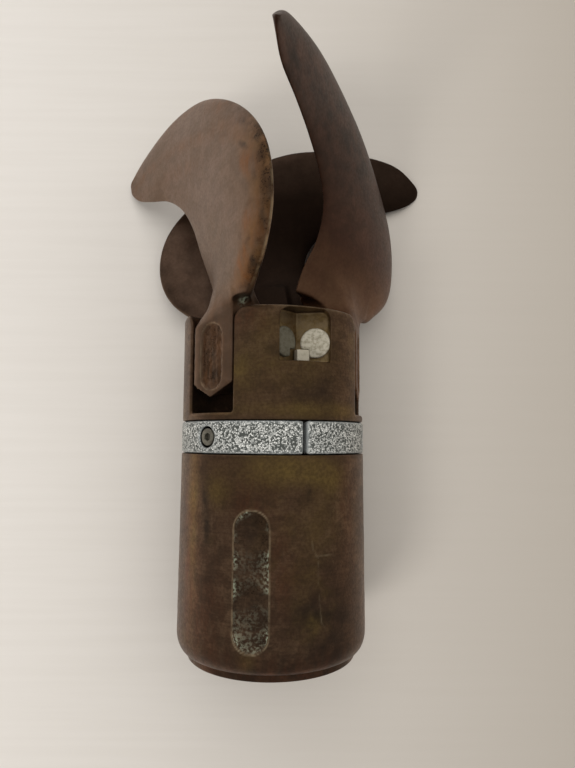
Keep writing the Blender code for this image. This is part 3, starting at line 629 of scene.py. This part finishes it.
def buildCarrier():
    c = carrier
    count = int(2 * math.pi * c["radius"] / c["step"])
    axes = [
        np.arange(count) * 2 * math.pi / count,
        np.arange(c["joinY"] - 1.5 * c["step"], c["rimY"] + 2 * c["step"], c["step"]),
        np.arange(c["bore"] - 2 * c["step"], c["radius"] + 2 * c["step"], c["step"]),
    ]
    (angle, y, radius), faces = netOnAxes(carrierField, axes, wrap=True)
    points = roundToRow(angle, y, radius)
    skin, floors = radius > c["radius"] - c["skin"], 0 * y
    middle = (c["windowFront"] + c["windowBack"]) / 2
    half = (c["windowBack"] - c["windowFront"]) / 2 - c["floorSpare"]  # short of the carrier's back end
    for direction in windowAngles:
        x, z = seenFrom(direction, angle, radius)
        near = (np.abs(x) < c["windowRight"] + c["floorSpare"]) & (np.abs(y - middle) < half)
        near &= z > c["windowFloor"] - 1
        floors = np.maximum(floors, near & ~skin)
    fromRim = np.hypot(c["radius"] - radius, c["rimY"] - y)
    paint = dict(
        brassAndLight=np.maximum(stain("brassAndLight", angle, y), floors),
        sootAndShade=np.where(skin, stain("sootAndShade", angle, y), 0.9 * (floors == 0)),
        copper=skin * stain("copper", angle, y),
        worn=np.maximum(0.4 * floors, 0.6 * bell(fromRim / c["rubWidth"])),
    )
    addPiece("hubCarrier", points, faces, hubBronze, "hub", "hub_bronze", "hub_casting", paint=paint)


buildCarrier()
print("carrier made")


# Anode ring: three segments, each with a counterbored screw hole
ring = dict(inner=42.3, outer=52.0, front=0.0, back=16.6, split=2.4, edge=1.0, step=0.6, margin=1.2,
            innerEdge=0.6, counterbore=5.6, seatEdge=0.5, hole=2.8, holeEdge=0.4, seat=46.4, eaten=0.05,
            eatenSize=2.6, cleanEdge=0.6, cleanHole=0.8)
screw = dict(shank=2.5, head=4.5, seat=46.7, top=51.3, tip=36.0, socket=2.0, depth=2.6, point=0.8,
             chamfer=0.5, ease=0.15, underEase=0.2, sides=48)


# Distance from a curved bar with rounded edges and an eaten skin, less a stepped hole square to
# the axis.
def buildAnode(i, direction):
    r = ring
    reach = math.pi / 3 - r["split"] / 2 / r["outer"]
    middle = (r["front"] + r["back"]) / 2

    def field(turn, y, radius):
        value = softMax(radius - r["outer"], np.abs(y - middle) - (r["back"] - r["front"]) / 2, r["edge"])
        value = softMax(value, r["inner"] - radius, r["innerEdge"])
        value = softMax(value, (np.abs(turn) - reach) * r["outer"], r["edge"])
        value = value + r["eaten"] * roughness(turn * r["outer"], y, radius, r["eatenSize"], 20 + i)
        x, z = seenFrom(0.0, turn, radius)
        off = np.hypot(x, y - middle)
        wide = np.maximum(off - r["counterbore"], r["seat"] - z)
        value = softMax(value, -wide, r["seatEdge"])
        return softMax(value, r["hole"] - off, r["holeEdge"])

    arc, more = reach * r["outer"], r["margin"]
    axes = [
        np.arange(-arc - more, arc + more, r["step"]) / r["outer"],
        np.arange(r["front"] - more, r["back"] + more, r["step"]),
        np.arange(r["inner"] - more, r["outer"] + more, r["step"]),
    ]
    (turn, y, radius), faces = netOnAxes(field, axes)
    ends = np.minimum(np.minimum(y - r["front"], r["back"] - y), (reach - np.abs(turn)) * r["outer"])
    seat = np.hypot(radius * np.sin(turn), y - middle) - r["counterbore"]
    nearEnd = np.exp(-np.maximum(ends, 0) / r["cleanEdge"])
    nearHole = np.exp(-np.maximum(seat, 0) / r["cleanHole"])
    paint = dict(
        smooth=np.maximum(nearEnd, 0.8 * nearHole),
        # painted shade inside the counterbore
        sootAndShade=(seat < 0.3) & (radius < r["outer"] - 0.5),
    )
    points = roundToRow(turn + direction, y, radius)
    addPiece(f"anodeSegment{i}", points, faces, anode, "hub", "anode_metal", f"anode_segment_{i}",
             paint=paint)


# Turned profile from the shank's tip over the head and down into a six-sided socket: radius of a
# socket point = half its width across flats / cosine of its turn from the flat.
def buildScrew(i, direction):
    s = screw
    turn = np.linspace(0, 2 * math.pi, s["sides"], endpoint=False)
    flat = np.mod(turn + math.pi / 6, math.pi / 3) - math.pi / 6
    hexagon = s["socket"] / np.cos(flat)
    bevel, ease, under = s["chamfer"], s["ease"], s["underEase"]
    bottom = s["top"] - s["depth"]
    rings = [
        (0.0, s["tip"]), (s["shank"] - bevel, s["tip"]), (s["shank"], s["tip"] + bevel),
        (s["shank"], s["seat"]), (s["head"] - under, s["seat"]), (s["head"], s["seat"] + under),
        (s["head"], s["top"] - bevel), (s["head"] - ease, s["top"] - ease), (s["head"] - bevel, s["top"]),
    ]
    radius = [np.full(s["sides"], r) for r, _ in rings] + [hexagon + ease, hexagon, hexagon, hexagon * 0]
    height = [h for _, h in rings] + [s["top"], s["top"] - ease, bottom, bottom - s["point"]]
    radius, height = np.array(radius), np.array(height)[:, None] + 0 * turn
    middle = (ring["front"] + ring["back"]) / 2
    x, y, z = radius * np.cos(turn), middle + radius * np.sin(turn), height
    points = facingToRow(direction, x, y, z).reshape(-1, 3)
    faces = gridFaces(len(radius), s["sides"])
    addPiece(f"anodeScrew{i}", points, faces, screwSteel, "hub", "stainless_steel", f"anode_screw_{i}",
             merge=True, sharp=35)


for number, direction in enumerate(bladeAngles, 1):
    buildAnode(number, direction)
    buildScrew(number, direction)
print("anode ring made")


# Hinge pins and the keys that lock them
pin = dict(radius=8.0, half=34.6, chamfer=1.0, notchSide=3.3, notchFront=3.3, notchDepth=5.0, notchEdge=0.3,
           step=0.4, endStep=0.35, endReach=7.0, margin=0.8, dull=0.75)
key = dict(half=3.5, shift=1.6, top=44.4, front=47.7, length=6.4, foot=38.6, edge=0.7, footEdge=0.4,
           step=0.3, margin=0.8, sides=(-3.0, 6.1))


# Distance from a round bar with eased ends, less a corner notch at each end.
def buildPin(i):
    p = pin

    def field(x, y, z):
        bar = softMax(np.hypot(x, y) - p["radius"], np.abs(z) - p["half"], p["chamfer"])
        corner = np.maximum(x + p["notchSide"], y + p["notchFront"])
        return softMax(bar, -np.maximum(corner, p["half"] - p["notchDepth"] - np.abs(z)), p["notchEdge"])

    ends = np.arange(p["half"] - p["endReach"], p["half"] + p["margin"], p["endStep"])
    reach = p["radius"] + p["margin"]
    wide = np.arange(-reach, reach + p["step"] / 2, p["step"])
    axes = [wide, wide, np.concatenate([-ends[::-1], np.linspace(-25, 25, 21), ends])]
    (x, y, z), faces = netOnAxes(field, axes)
    place, around = hinges[i - 1]
    points = place + mm * (x[:, None] * outward[i - 1] + y[:, None] * aft - z[:, None] * around)
    # dull darkens the end of each pin at negative z with painted shade: that end lies in its window's shade.
    addPiece(f"hingePin{i}", points, faces, steel, "hub", "stainless_steel", f"hinge_pin_{i}",
             paint=dict(sootAndShade=p["dull"] * (z < 0)))


# Distance from a bar with eased edges, its foot cut to the window's V floor.
def buildKey(i, direction):
    k, half = key, key["length"] / 2

    def field(x, y, z):
        value = softMax(np.abs(x - k["shift"]) - k["half"], np.abs(y - k["front"] - half) - half, k["edge"])
        value = softMax(value, z - k["top"], k["edge"])
        foot = (k["foot"] + carrier["floorSlope"] * np.abs(x) - z) * carrier["floorLean"]
        return softMax(value, foot, k["footEdge"])

    more, step = k["margin"], k["step"]
    axes = [
        np.arange(*k["sides"], step),
        np.arange(k["front"] - more, k["front"] + k["length"] + more, step),
        np.arange(k["foot"] - more, k["top"] + more, step),
    ]
    (x, y, z), faces = netOnAxes(field, axes)
    points = facingToRow(direction, x, y, z)
    addPiece(f"lockKey{i}", points, faces, keySteel, "hub", "key_steel", f"lock_key_{i}")


for number, direction in enumerate(windowAngles, 1):
    buildPin(number)
    buildKey(number, direction)
print("pins and keys made")


# Splined sleeve and the rubber bush that carries it
sleeve = dict(radius=26.0, front=-107.0, back=-14.0, teeth=17, tip=12.9, root=14.5, steepness=3.0, lead=0.8,
              edge=0.6, columns=340)
bush = dict(inner=26.3, outer=39.7, front=-103.0, back=-16.0, hollow=2.2, fullness=0.7, columns=160)


# Bore radius = middle of the spline, plus or minus half its depth as an eased square wave of the
# angle, 17 waves round; the outside is round.
def buildSleeve():
    s = sleeve
    angle = np.linspace(0, 2 * math.pi, s["columns"], endpoint=False)
    wave = np.tanh(s["steepness"] * np.cos(s["teeth"] * angle))
    bore = (s["tip"] + s["root"]) / 2 + wave * (s["root"] - s["tip"]) / 2
    outer = np.full(s["columns"], s["radius"])
    lead, edge = s["lead"], s["edge"]
    front, back = s["front"], s["back"]
    y = np.array([front + lead, front, front, front + edge, back - edge, back, back, back - lead])
    radius = np.array([bore, bore + lead, outer - edge, outer, outer, outer - edge, bore + lead, bore])
    points = roundToRow(angle[None, :] + 0 * radius, y[:, None] + 0 * radius, radius).reshape(-1, 3)
    faces = gridFaces(len(y), s["columns"], closeRows=True)
    addPiece("splineSleeve", points, faces, sleeveBronze, "hub", "sleeve_bronze", "spline_sleeve", sharp=40)


# A ring whose front face is a shallow hollow between two lips.
def buildBush():
    b = bush
    angle = np.linspace(0, 2 * math.pi, b["columns"], endpoint=False)
    share = np.linspace(0, 1, 9)
    r = list(b["inner"] + (b["outer"] - b["inner"]) * share) + [b["outer"], b["inner"]]
    y = list(b["front"] + b["hollow"] * np.sin(math.pi * share) ** b["fullness"]) + [b["back"], b["back"]]
    r, y = np.array(r)[:, None] + 0 * angle, np.array(y)[:, None] + 0 * angle
    points = roundToRow(angle[None, :] + 0 * r, y, r).reshape(-1, 3)
    faces = gridFaces(len(r), b["columns"], closeRows=True)
    addPiece("rubberBush", points, faces, blackRubber, "hub", "black_rubber", "rubber_bush", sharp=40)


buildSleeve()
buildBush()
print("sleeve and bush made")


# Blades: the blade and its geared root are one casting, with fillets where they meet
blade = dict(
    pitch=250.0, rootThickness=12.0, tipThickness=2.6, lopside=0.35, spanRows=130, columns=91, step=0.85,
    rootReach=64.0, depths=((-40.0, -8.0, 0.9), (-8.0, 8.01, 0.5), (8.9, 48.0, 0.9)),
    leading=(
        (54, 29, -19), (72.5, 50.5, -28.5), (94.5, 58.5, -29.5), (120, 53.7, -25), (143, 35.3, -15.3),
        (162, 8, -4), (174.7, -23.8, 8.4), (176.3, -58, 17.2), (168.5, -93.8, 24.9), (152.5, -114.7, 23.8),
    ),
    trailing=(
        (56.2, -29.5, 15), (70, -30.2, 12.5), (86, -31, 7.3), (103.5, -35, 5.8), (117.5, -46.5, 8.9),
        (127.8, -64, 13.3), (133.5, -85, 17), (139.1, -102.7, 21.2), (145.8, -112.4, 22.7),
        (152.5, -114.7, 23.8),
    ),
    footSlope=0.85, footRound=1.2, tipCut=(0.29, -0.956), tipRound=1.5, blunt=0.2, fillet=6.0,
    bandShare=(1.0, 0.3, 0.2),
)
root = dict(
    half=15.3, edge=0.8, overlap=1.0, groove=3.0, grooveRadius=19.8, grooveEdge=0.5, grooveSpare=0.03,
    bore=8.6, boreEdge=0.4, reach=92.0,
    rest=math.radians(8.0), teeth=16, slope=math.tan(math.radians(30)), addendum=0.62, dedendum=0.95,
    toothShare=0.45, pressure=math.radians(20), start=math.radians(82), end=math.radians(194),
    heel=35.6, heelSlope=0.38, front=25.0, frontStart=-9.0, faceEnd=13.0, faceSlope=0.3,
    faceRadius=50.0, faceCrown=0.02, recessLength=35.0, recessWidth=15.4, recessDepth=1.4,
    recessMiddle=-7.2, recessSlope=0.9, recessEdge=0.6, gritHeight=0.24, gritSize=1.8, lumpHeight=0.20,
    lumpSize=2.6, cutStart=9.2, cutLength=12.8, cutIn=8.3, cutLean=0.435, cutFrom=22.0, cutSlope=0.8,
    cutRound=5.0, neckSlope=-0.5,
    neck=((33, -12.5, 0.8), (46, -6.5, 1), (46, -1.5, 1), (26, 8.5, 0.7), (16, 13, 0.3), (6, 17, 0)),
)


# Catmull-Rom curve through the corners, its points closer together toward the tip.
def smoothCurve(corners, steps):
    p = np.asarray(corners, float)
    p = np.vstack([2 * p[0] - p[1], p, 2 * p[-1] - p[-2]])
    t = np.sin(np.linspace(0, 1, steps) * math.pi / 2) * (len(p) - 3)
    i = np.minimum(t.astype(int), len(p) - 4)
    f = (t - i)[:, None]
    a, b, c, d = p[i], p[i + 1], p[i + 2], p[i + 3]
    square, cube = 2 * a - 5 * b + 4 * c - d, 3 * b - a - 3 * c + d
    return 0.5 * (2 * b + (c - a) * f + square * f ** 2 + cube * f ** 3)


# How far aft a screw surface of the blade's pitch lies: -pitch / full turn * the angle.
def helix(points):
    return -blade["pitch"] / (2 * math.pi) * np.arctan2(points[..., 1], points[..., 0])


# Involute teeth between the start and end angles, as (span, aft) points.
def gearOutline(scale, phase):
    r = root
    pitchRadius = hinge["radius"] * scale
    module = 2 * pitchRadius / r["teeth"]
    tip, low = pitchRadius + r["addendum"] * module, pitchRadius - r["dedendum"] * module
    base = pitchRadius * math.cos(r["pressure"])
    step = 2 * math.pi / r["teeth"]

    def involute(radius):
        angle = math.acos(min(1.0, base / radius))
        return math.tan(angle) - angle

    flank = [(r["toothShare"] * step / 2 + involute(pitchRadius) - involute(q), q)
             for q in np.linspace(max(base, low), tip, 3)]
    points = [(r["start"], low)]
    first = math.ceil((r["start"] - phase) / step) - 1
    for n in range(first, first + r["teeth"]):
        centre, spread = phase + n * step, flank[0][0] + 0.03
        if centre - spread < r["start"] or centre + spread > r["end"]:
            continue
        points.append((centre - spread, low))
        points += [(centre - a, q) for a, q in flank] + [(centre + a, q) for a, q in reversed(flank)]
        points.append((centre + spread, low))
    points.append((r["end"], low))
    return [(q * math.cos(a), q * math.sin(a)) for a, q in points]


# Outline of the root in (span, aft) from the pin, so far across toward one side.
def rootOutline(across, sign):
    r = root
    s, c = math.sin(r["rest"]), math.cos(r["rest"])
    scale = (hinge["radius"] - r["slope"] * across) / hinge["radius"]
    face = r["faceRadius"] - r["faceCrown"] * across - hinge["radius"]
    heel = r["heel"] - r["heelSlope"] * across
    back = -math.sqrt(heel ** 2 - face ** 2)
    corner = (face * s + back * c, back * s - face * c)
    points = gearOutline(scale, math.pi if sign > 0 else math.pi + math.pi / r["teeth"])
    points += [(-r["front"] * scale, r["frontStart"]), (-r["front"] * scale, 0.7 * corner[1]), corner]
    end = r["faceEnd"] + r["faceSlope"] * sign * across
    points.append((face * s + end * c, end * s - face * c))
    thin = 1.0 - across / 80
    points += [(span, w * thin + r["neckSlope"] * share * sign * across) for span, w, share in r["neck"]]
    return np.array(points)


# Signed distance from the root's outline at each point's own place across the root.
def rootDistance(p, v, w):
    r = root
    best = np.full(p.shape, 1e9)
    inside = np.zeros(p.shape, bool)
    for sign in (1, -1):
        mine = v * sign >= 0
        x, y = p[mine], w[mine]
        share = (np.abs(v[mine]) + r["overlap"]) / (r["half"] + r["overlap"])
        near, far = rootOutline(-r["overlap"], sign), rootOutline(r["half"], sign)
        distance, within = np.full(x.shape, 1e9), np.zeros(x.shape, bool)
        for k in range(len(near)):
            ax, ay = (near[k - 1, n] + (far[k - 1, n] - near[k - 1, n]) * share for n in (0, 1))
            bx, by = (near[k, n] + (far[k, n] - near[k, n]) * share for n in (0, 1))
            ex, ey = bx - ax, by - ay
            h = unit(((x - ax) * ex + (y - ay) * ey) / (ex ** 2 + ey ** 2 + 1e-9))
            distance = np.minimum(distance, (x - ax - h * ex) ** 2 + (y - ay - h * ey) ** 2)
            within ^= ((ay > y) != (by > y)) & (x < ex * (y - ay) / np.where(ey == 0, 1e-9, ey) + ax)
        best[mine], inside[mine] = distance, within
    return np.sqrt(best) * np.where(inside, -1, 1)


# Middle surface and half thickness (both along w) of the blade on a grid of rows and columns.
# Point = leading edge * (1 - t) + trailing edge * t, with t = (1 - cos turn) / 2, set on the
# screw surface between them. Half thickness = thickness / 2 * sin turn * (1 + lopside * cos turn).
# Rows before the foot of the blade run straight on toward the hub's axis, for the root.
def bladeGrid():
    b = blade
    lead, trail = smoothCurve(b["leading"], b["spanRows"]), smoothCurve(b["trailing"], b["spanRows"])
    turn = np.linspace(0, math.pi, b["columns"])
    t = ((1 - np.cos(turn)) / 2)[None, :, None]
    middle = lead[:, None] * (1 - t) + trail[:, None] * t
    twist = helix(lead)[:, None] * (1 - t[..., 0]) + helix(trail)[:, None] * t[..., 0]
    middle[..., 2] += helix(middle) - twist
    along, chord = np.gradient(middle, axis=0), np.gradient(middle, axis=1)
    normal = np.cross(chord, along)
    normal /= np.linalg.norm(normal, axis=2, keepdims=True) + 1e-9
    level = np.clip(np.abs(normal[..., 2]), 0.6, 1.0)
    level[-3:] = level[-4]
    s = np.linspace(0, 1, b["spanRows"])[:, None]
    thickness = b["rootThickness"] + (b["tipThickness"] - b["rootThickness"]) * s ** 0.8
    width = np.linalg.norm(lead - trail, axis=1)[:, None]
    thickness = np.minimum(thickness, 0.5 * width)
    half = 0.5 * thickness * np.sin(turn) * (1 + b["lopside"] * np.cos(turn)) / level
    before = np.arange(-b["rootReach"], -0.1, b["step"])
    rootRows = middle[0][None] + before[:, None, None] * np.array([1.0, 0.0, 0.0])
    middle = np.concatenate([rootRows, middle])
    half = np.concatenate([np.repeat(half[:1], len(before), 0), half])
    level = np.concatenate([np.repeat(level[:1], len(before), 0), level])
    return middle, half, level, before


# Values between a grid's points, straight-line in both directions.
def sampleGrid(values, i, j):
    a, b = np.minimum(i.astype(int), values.shape[0] - 2), np.minimum(j.astype(int), values.shape[1] - 2)
    f, g = (i - a)[:, None], (j - b)[:, None]
    low = values[a, b] * (1 - g) + values[a, b + 1] * g
    high = values[a + 1, b] * (1 - g) + values[a + 1, b + 1] * g
    return low * (1 - f) + high * f


# How far a place by the pin lies out from it square to the root's outer face, and how far back.
def squareToFace(p, w):
    s, c = math.sin(root["rest"]), math.cos(root["rest"])
    return p * s - w * c, p * c + w * s


# Distance from the outline of the root's recess, negative inside.
def recessOval(back, v):
    return stadium(back - root["recessMiddle"], v, root["recessLength"], root["recessWidth"])


# Distance from the root, whose outer corner is cut where the blade's slope runs out of it.
def rootBlock(p, v, w):
    r = root
    out, back = squareToFace(p, w)
    block = softMax(rootDistance(p, v, w), np.abs(v) - r["half"], r["edge"])
    lift = eased((back - r["cutStart"]) / r["cutLength"])
    edge = -r["half"] + r["cutIn"] * lift + r["cutLean"] * (out - r["cutFrom"])
    return softMax(block, r["cutSlope"] * (edge - v), r["cutRound"])


# A distance with the recess and its rough floor, the pin's bore, and the groove between the two
# sides' teeth taken out.
def rootCuts(value, p, v, w):
    r = root
    out, back = squareToFace(p, w)
    face = r["faceRadius"] - r["faceCrown"] * np.abs(v) - hinge["radius"]
    rough = r["lumpHeight"] * roughness(back, v, 0 * v, r["lumpSize"], 8)
    rough = rough + r["gritHeight"] * roughness(back, v, 0 * v, r["gritSize"], 9)
    pocket = np.maximum(recessOval(back, v) * r["recessSlope"], face - r["recessDepth"] + rough - out)
    value = softMax(value, -pocket, r["recessEdge"])
    fromPin = np.hypot(p, w)
    value = softMax(value, r["bore"] - fromPin, r["boreEdge"])
    groove = np.maximum(np.abs(v) - r["groove"], r["grooveRadius"] - fromPin)
    sweep = np.arctan2(w, p) % (2 * math.pi)
    toothed = (sweep > r["start"] - r["grooveSpare"]) & (sweep < r["end"] + r["grooveSpare"])
    return softMax(value, -np.where(toothed, groove, 5.0), r["grooveEdge"])


# The whole casting on the blade's grid, with steps in depth that are closest on the blade: it is
# where the rounded smaller of two distances, from the blade and from the root, is below zero.
def castingField(middle, half, level, before, deep):
    b, r = blade, root
    u, v = middle[..., 0, None] + 0 * deep, middle[..., 1, None] + 0 * deep
    w = middle[..., 2, None] + deep
    value = (np.abs(deep) - half[..., None]) * level[..., None]
    centre = middle[len(before):, b["columns"] // 2]
    foot = np.concatenate([-before, -np.linalg.norm(centre - centre[0], axis=1)])
    value = softMax(value, foot[:, None, None] * b["footSlope"], b["footRound"])
    (tipU, tipV, _), (cutU, cutV) = b["leading"][-1], b["tipCut"]
    value = softMax(value, cutU * (u - tipU) + cutV * (v - tipV) + b["blunt"], b["tipRound"])
    close = (np.abs(v) < r["half"] + 8) & (u < r["reach"])
    p, v, w = u[close] - hinge["radius"], v[close], w[close]
    value[close] = rootCuts(softMin(value[close], rootBlock(p, v, w), b["fillet"]), p, v, w)
    value[[0, -1]] = np.maximum(value[[0, -1]], 1e-3)
    value[:, [0, -1]] = np.maximum(value[:, [0, -1]], 1e-3)
    return value


# Points (span from the pin, aft, across) and faces of one blade with its root, and each point's
# distance from the leading edge, share of lying on the blade, and distance outside the recess.
def bladeCasting():
    b, r = blade, root
    middle, half, level, before = bladeGrid()
    deep = np.concatenate([np.arange(*part) for part in b["depths"]])
    points, faces = netSurface(castingField(middle, half, level, before, deep))
    i, j, k = points.T
    spot = sampleGrid(middle, i, j)
    share = (1 - np.cos(math.pi * j / (b["columns"] - 1))) / 2
    rows = np.minimum(np.maximum(i, len(before)), len(middle) - 1.0).astype(int)
    width = np.linalg.norm(middle[rows, 0] - middle[rows, -1], axis=1)
    onBlade = unit((i - len(before)) / 3)
    p, v, w = spot[:, 0] - hinge["radius"], spot[:, 1], spot[:, 2] + np.interp(k, np.arange(len(deep)), deep)
    out, back = squareToFace(p, w)
    oval = np.where(out > r["faceRadius"] - hinge["radius"] - 3.0, recessOval(back, v), 9.0)
    return p, w, v, faces, share * width, onBlade, oval


# Where a blade is coloured: distances in from its leading edge, and places out from the hub's axis
bladeStain = dict(
    band=27.0, bandSoft=8.0, bandWave=9.0, bandEnd=150.0, bandFade=25.0, low=98.0, lowIn=32.0, lowShare=0.35,
    pits=9.0, pitsSoft=5.0, pitsEnd=165.0, wornWidth=0.35, wornEnd=125.0, tipStart=125.0, footEnd=58.0,
    fade=30.0, footFade=6.0, cloudSize=22.0, spotSize=13.0, rimPlace=0.4, rimWidth=0.3,
)


# Copper red, pitted and rubbed along the leading edge: shares of the distance from it, broken up
# by clouds. pale, dark and green are more of the brass-and-light, the soot-and-shade and the green
# colour: buildBlades gives pale as painted light, and dark partly as painted shade.
def bladePaint(u, inside, onBlade, oval, strength, pale, dark, green):
    p = bladeStain
    cloud = unit(0.5 + 0.5 * roughness(u, inside, 0 * u, p["cloudSize"], 12))
    band = unit((p["band"] - inside - p["bandWave"] * cloud) / p["bandSoft"])
    band = band * unit((p["bandEnd"] - u) / p["bandFade"])
    spots = band * unit(1.6 * roughness(u, inside, 0 * u, p["spotSize"], 13) - 0.6)
    pitted = unit((p["pits"] - inside) / p["pitsSoft"]) * unit((p["pitsEnd"] - u) / p["fade"])
    worn = 0.6 * bell(inside / p["wornWidth"]) * np.clip((p["wornEnd"] - u) / p["fade"], 0.1, 1)
    tip = 0.6 * unit((u - p["tipStart"]) / p["fade"]) * cloud
    foot = unit((p["footEnd"] - u) / p["footFade"]) * (1 - onBlade)
    pocket = unit(-oval / root["recessEdge"])
    low = p["lowShare"] * unit((p["low"] - u) / 14) * unit((p["lowIn"] - inside) / 18)
    redden = np.maximum(band * np.clip(1.1 - cloud, 0.25, 1), tip)
    return dict(
        brassAndLight=unit(onBlade * strength * (0.7 * band * cloud + low) + pale),
        sootAndShade=unit(0.35 * foot + onBlade * strength * spots + dark + 0.3 * pocket),
        copper=unit(np.maximum(onBlade * strength * redden, 0.25 * foot + 0.3 * pocket)),
        pitted=np.maximum(onBlade * strength * pitted, 0.6 * pocket),
        worn=onBlade * strength * worn + 0.35 * bell((oval - p["rimPlace"]) / p["rimWidth"]),
        green=green + 0 * u,
    )


# The one casting at each hinge, turned to its rest angle, with each blade's own stains and its painted light
# and shade.
def buildBlades():
    span, back, across, faces, inside, onBlade, oval = bladeCasting()
    c, s = math.cos(hinge["fold"]), math.sin(hinge["fold"])
    for i, (place, around) in enumerate(hinges, 1):
        out = outward[i - 1]
        spanWay, aftWay = c * out + s * aft, c * aft - s * out
        points = place + mm * (span[:, None] * spanWay + back[:, None] * aftWay + across[:, None] * around)
        u, pale, dark, green = span + hinge["radius"], 0.0, 0.0, 0.0
        if i == 1:  # painted shade on the root's side above the rim, with a spot of verdigris
            dark = unit((across - 11) / 3) * unit((66 - u) / 3) * unit((back + 13) / 3)
            green = 1.8 * bell(np.sqrt((u - 53) ** 2 + (across - 17) ** 2 + (back + 11) ** 2) / 2.6)
        if i == 2:  # painted light toward its root, which the light hardly reaches, and darker toward its tip
            pale, dark = 0.8 * unit((92 - u) / 30), unit((u - 85) / 50)
        if i == 3:  # painted light at its broad left end and its tip, outside the shade painted by its look
            pale = unit((-0.035 - points[:, 0]) / 0.012) + 0.3 * unit((u - 140) / 20)
        paint = bladePaint(u, inside, onBlade, oval, blade["bandShare"][i - 1], pale, dark, green)
        addPiece(f"bladeCasting{i}", points, faces, bladeBronzes[i - 1], f"blade_{i}", "blade_bronze",
                 f"blade_{i}", paint=paint)
    print("blade faces:", len(faces))


buildBlades()
print("blades made")


table = dict(reach=3.0, height=-0.0004, base="dfdad4", fibre="d2ccc5", cloud="d8d2cb", shade="a69d91",
             shadeLeft=-0.22, shadeRight=0.24, rough=0.55)


# Matt laminate with a faint grain, and painted shade that darkens it toward the right.
def buildTable():
    t = table
    material, tree, where = newMaterial("laminate_white_matt")
    fibre = patches(tree, where, 0.006, 0.35, 0.65, detail=6.0, stretch=(0.04, 1, 1))
    shade = node(tree, "MapRange", node(tree, "SeparateXYZ", where), t["shadeLeft"], t["shadeRight"])
    clouds = patches(tree, where, 0.25, 0.3, 0.7)
    color = layered(tree, t["base"], (fibre, t["fibre"], 0.22), (clouds, t["cloud"], 0.25),
                    (shade, t["shade"], 0.9))
    finish(tree, Base_Color=color, Roughness=t["rough"])
    mesh = bpy.data.meshes.new("table")
    r, z = t["reach"], t["height"]
    mesh.from_pydata([(-r, -r, z), (r, -r, z), (r, r, z), (-r, r, z)], [], [(0, 1, 2, 3)])
    mesh.materials.append(material)
    top = bpy.data.objects.new("table", mesh)
    bpy.context.scene.collection.objects.link(top)


# Soft panels that face the middle of the table. Only the window mirrors in the bronze: whoever
# takes the picture stands where the others would.
lights = dict(
    windowPanel=dict(place=(-0.6, 1.1, 0.9), size=(1.8, 0.8), power=3.2, color=(0.97, 0.98, 1.0),
                     mirrored=True),
    sidePanel=dict(place=(-0.75, -0.85, 1.2), size=(0.5, 0.4), power=10.0, color=(1.0, 0.985, 0.96)),
    ceilingPanel=dict(place=(0.32, 0.5, 1.45), size=(2.2, 1.8), power=21.0, color=(1.0, 0.985, 0.955)),
)
room = dict(color="e6e4e2", strength=0.34)


def addLight(name, place, size, power, color, mirrored=False):
    light = bpy.data.lights.new(name, "AREA")
    light.shape, light.energy, light.color = "RECTANGLE", power, color
    light.size, light.size_y = size
    lamp = bpy.data.objects.new(name, light)
    lamp.location = place
    lamp.rotation_euler = (-Vector(place)).to_track_quat("-Z", "Y").to_euler()
    lamp.visible_glossy = mirrored
    bpy.context.scene.collection.objects.link(lamp)


def buildWorld():
    world = bpy.data.worlds.new("room")
    world.use_nodes = True
    background = world.node_tree.nodes["Background"]
    background.inputs[0].default_value = tone(room["color"])
    background.inputs[1].default_value = room["strength"]
    bpy.context.scene.world = world
    bpy.context.scene.view_settings.view_transform = "Standard"


# The camera's place is in hub coordinates, leaned over to the left, and the turns are its own.
camera = dict(lens=28.06, sensor=36.0, lean=-1.5, place=(0.0158, 0.0075, 0.3501),
              turns=((5.25, "X"), (1.21, "Y"), (0.24, "Z")))


# Above the hub, tipped a little toward the blades.
def buildCamera():
    c = camera
    data = bpy.data.cameras.new("camera")
    data.lens, data.sensor_width = c["lens"], c["sensor"]
    hub = Matrix(((right[0], aft[0], up[0]), (right[1], aft[1], up[1]), (right[2], aft[2], up[2]))).to_4x4()
    hub.translation = Vector(hubOrigin)
    place = hub @ Matrix.Rotation(math.radians(c["lean"]), 4, "Y") @ Matrix.Translation(c["place"])
    for degrees, axis in c["turns"]:
        place = place @ Matrix.Rotation(math.radians(degrees), 4, axis)
    view = bpy.data.objects.new("camera", data)
    view.matrix_world = place
    bpy.context.scene.collection.objects.link(view)
    bpy.context.scene.camera = view


buildTable()
for name, values in lights.items():
    addLight(name, **values)
buildWorld()
buildCamera()
print("table, lights and camera made")
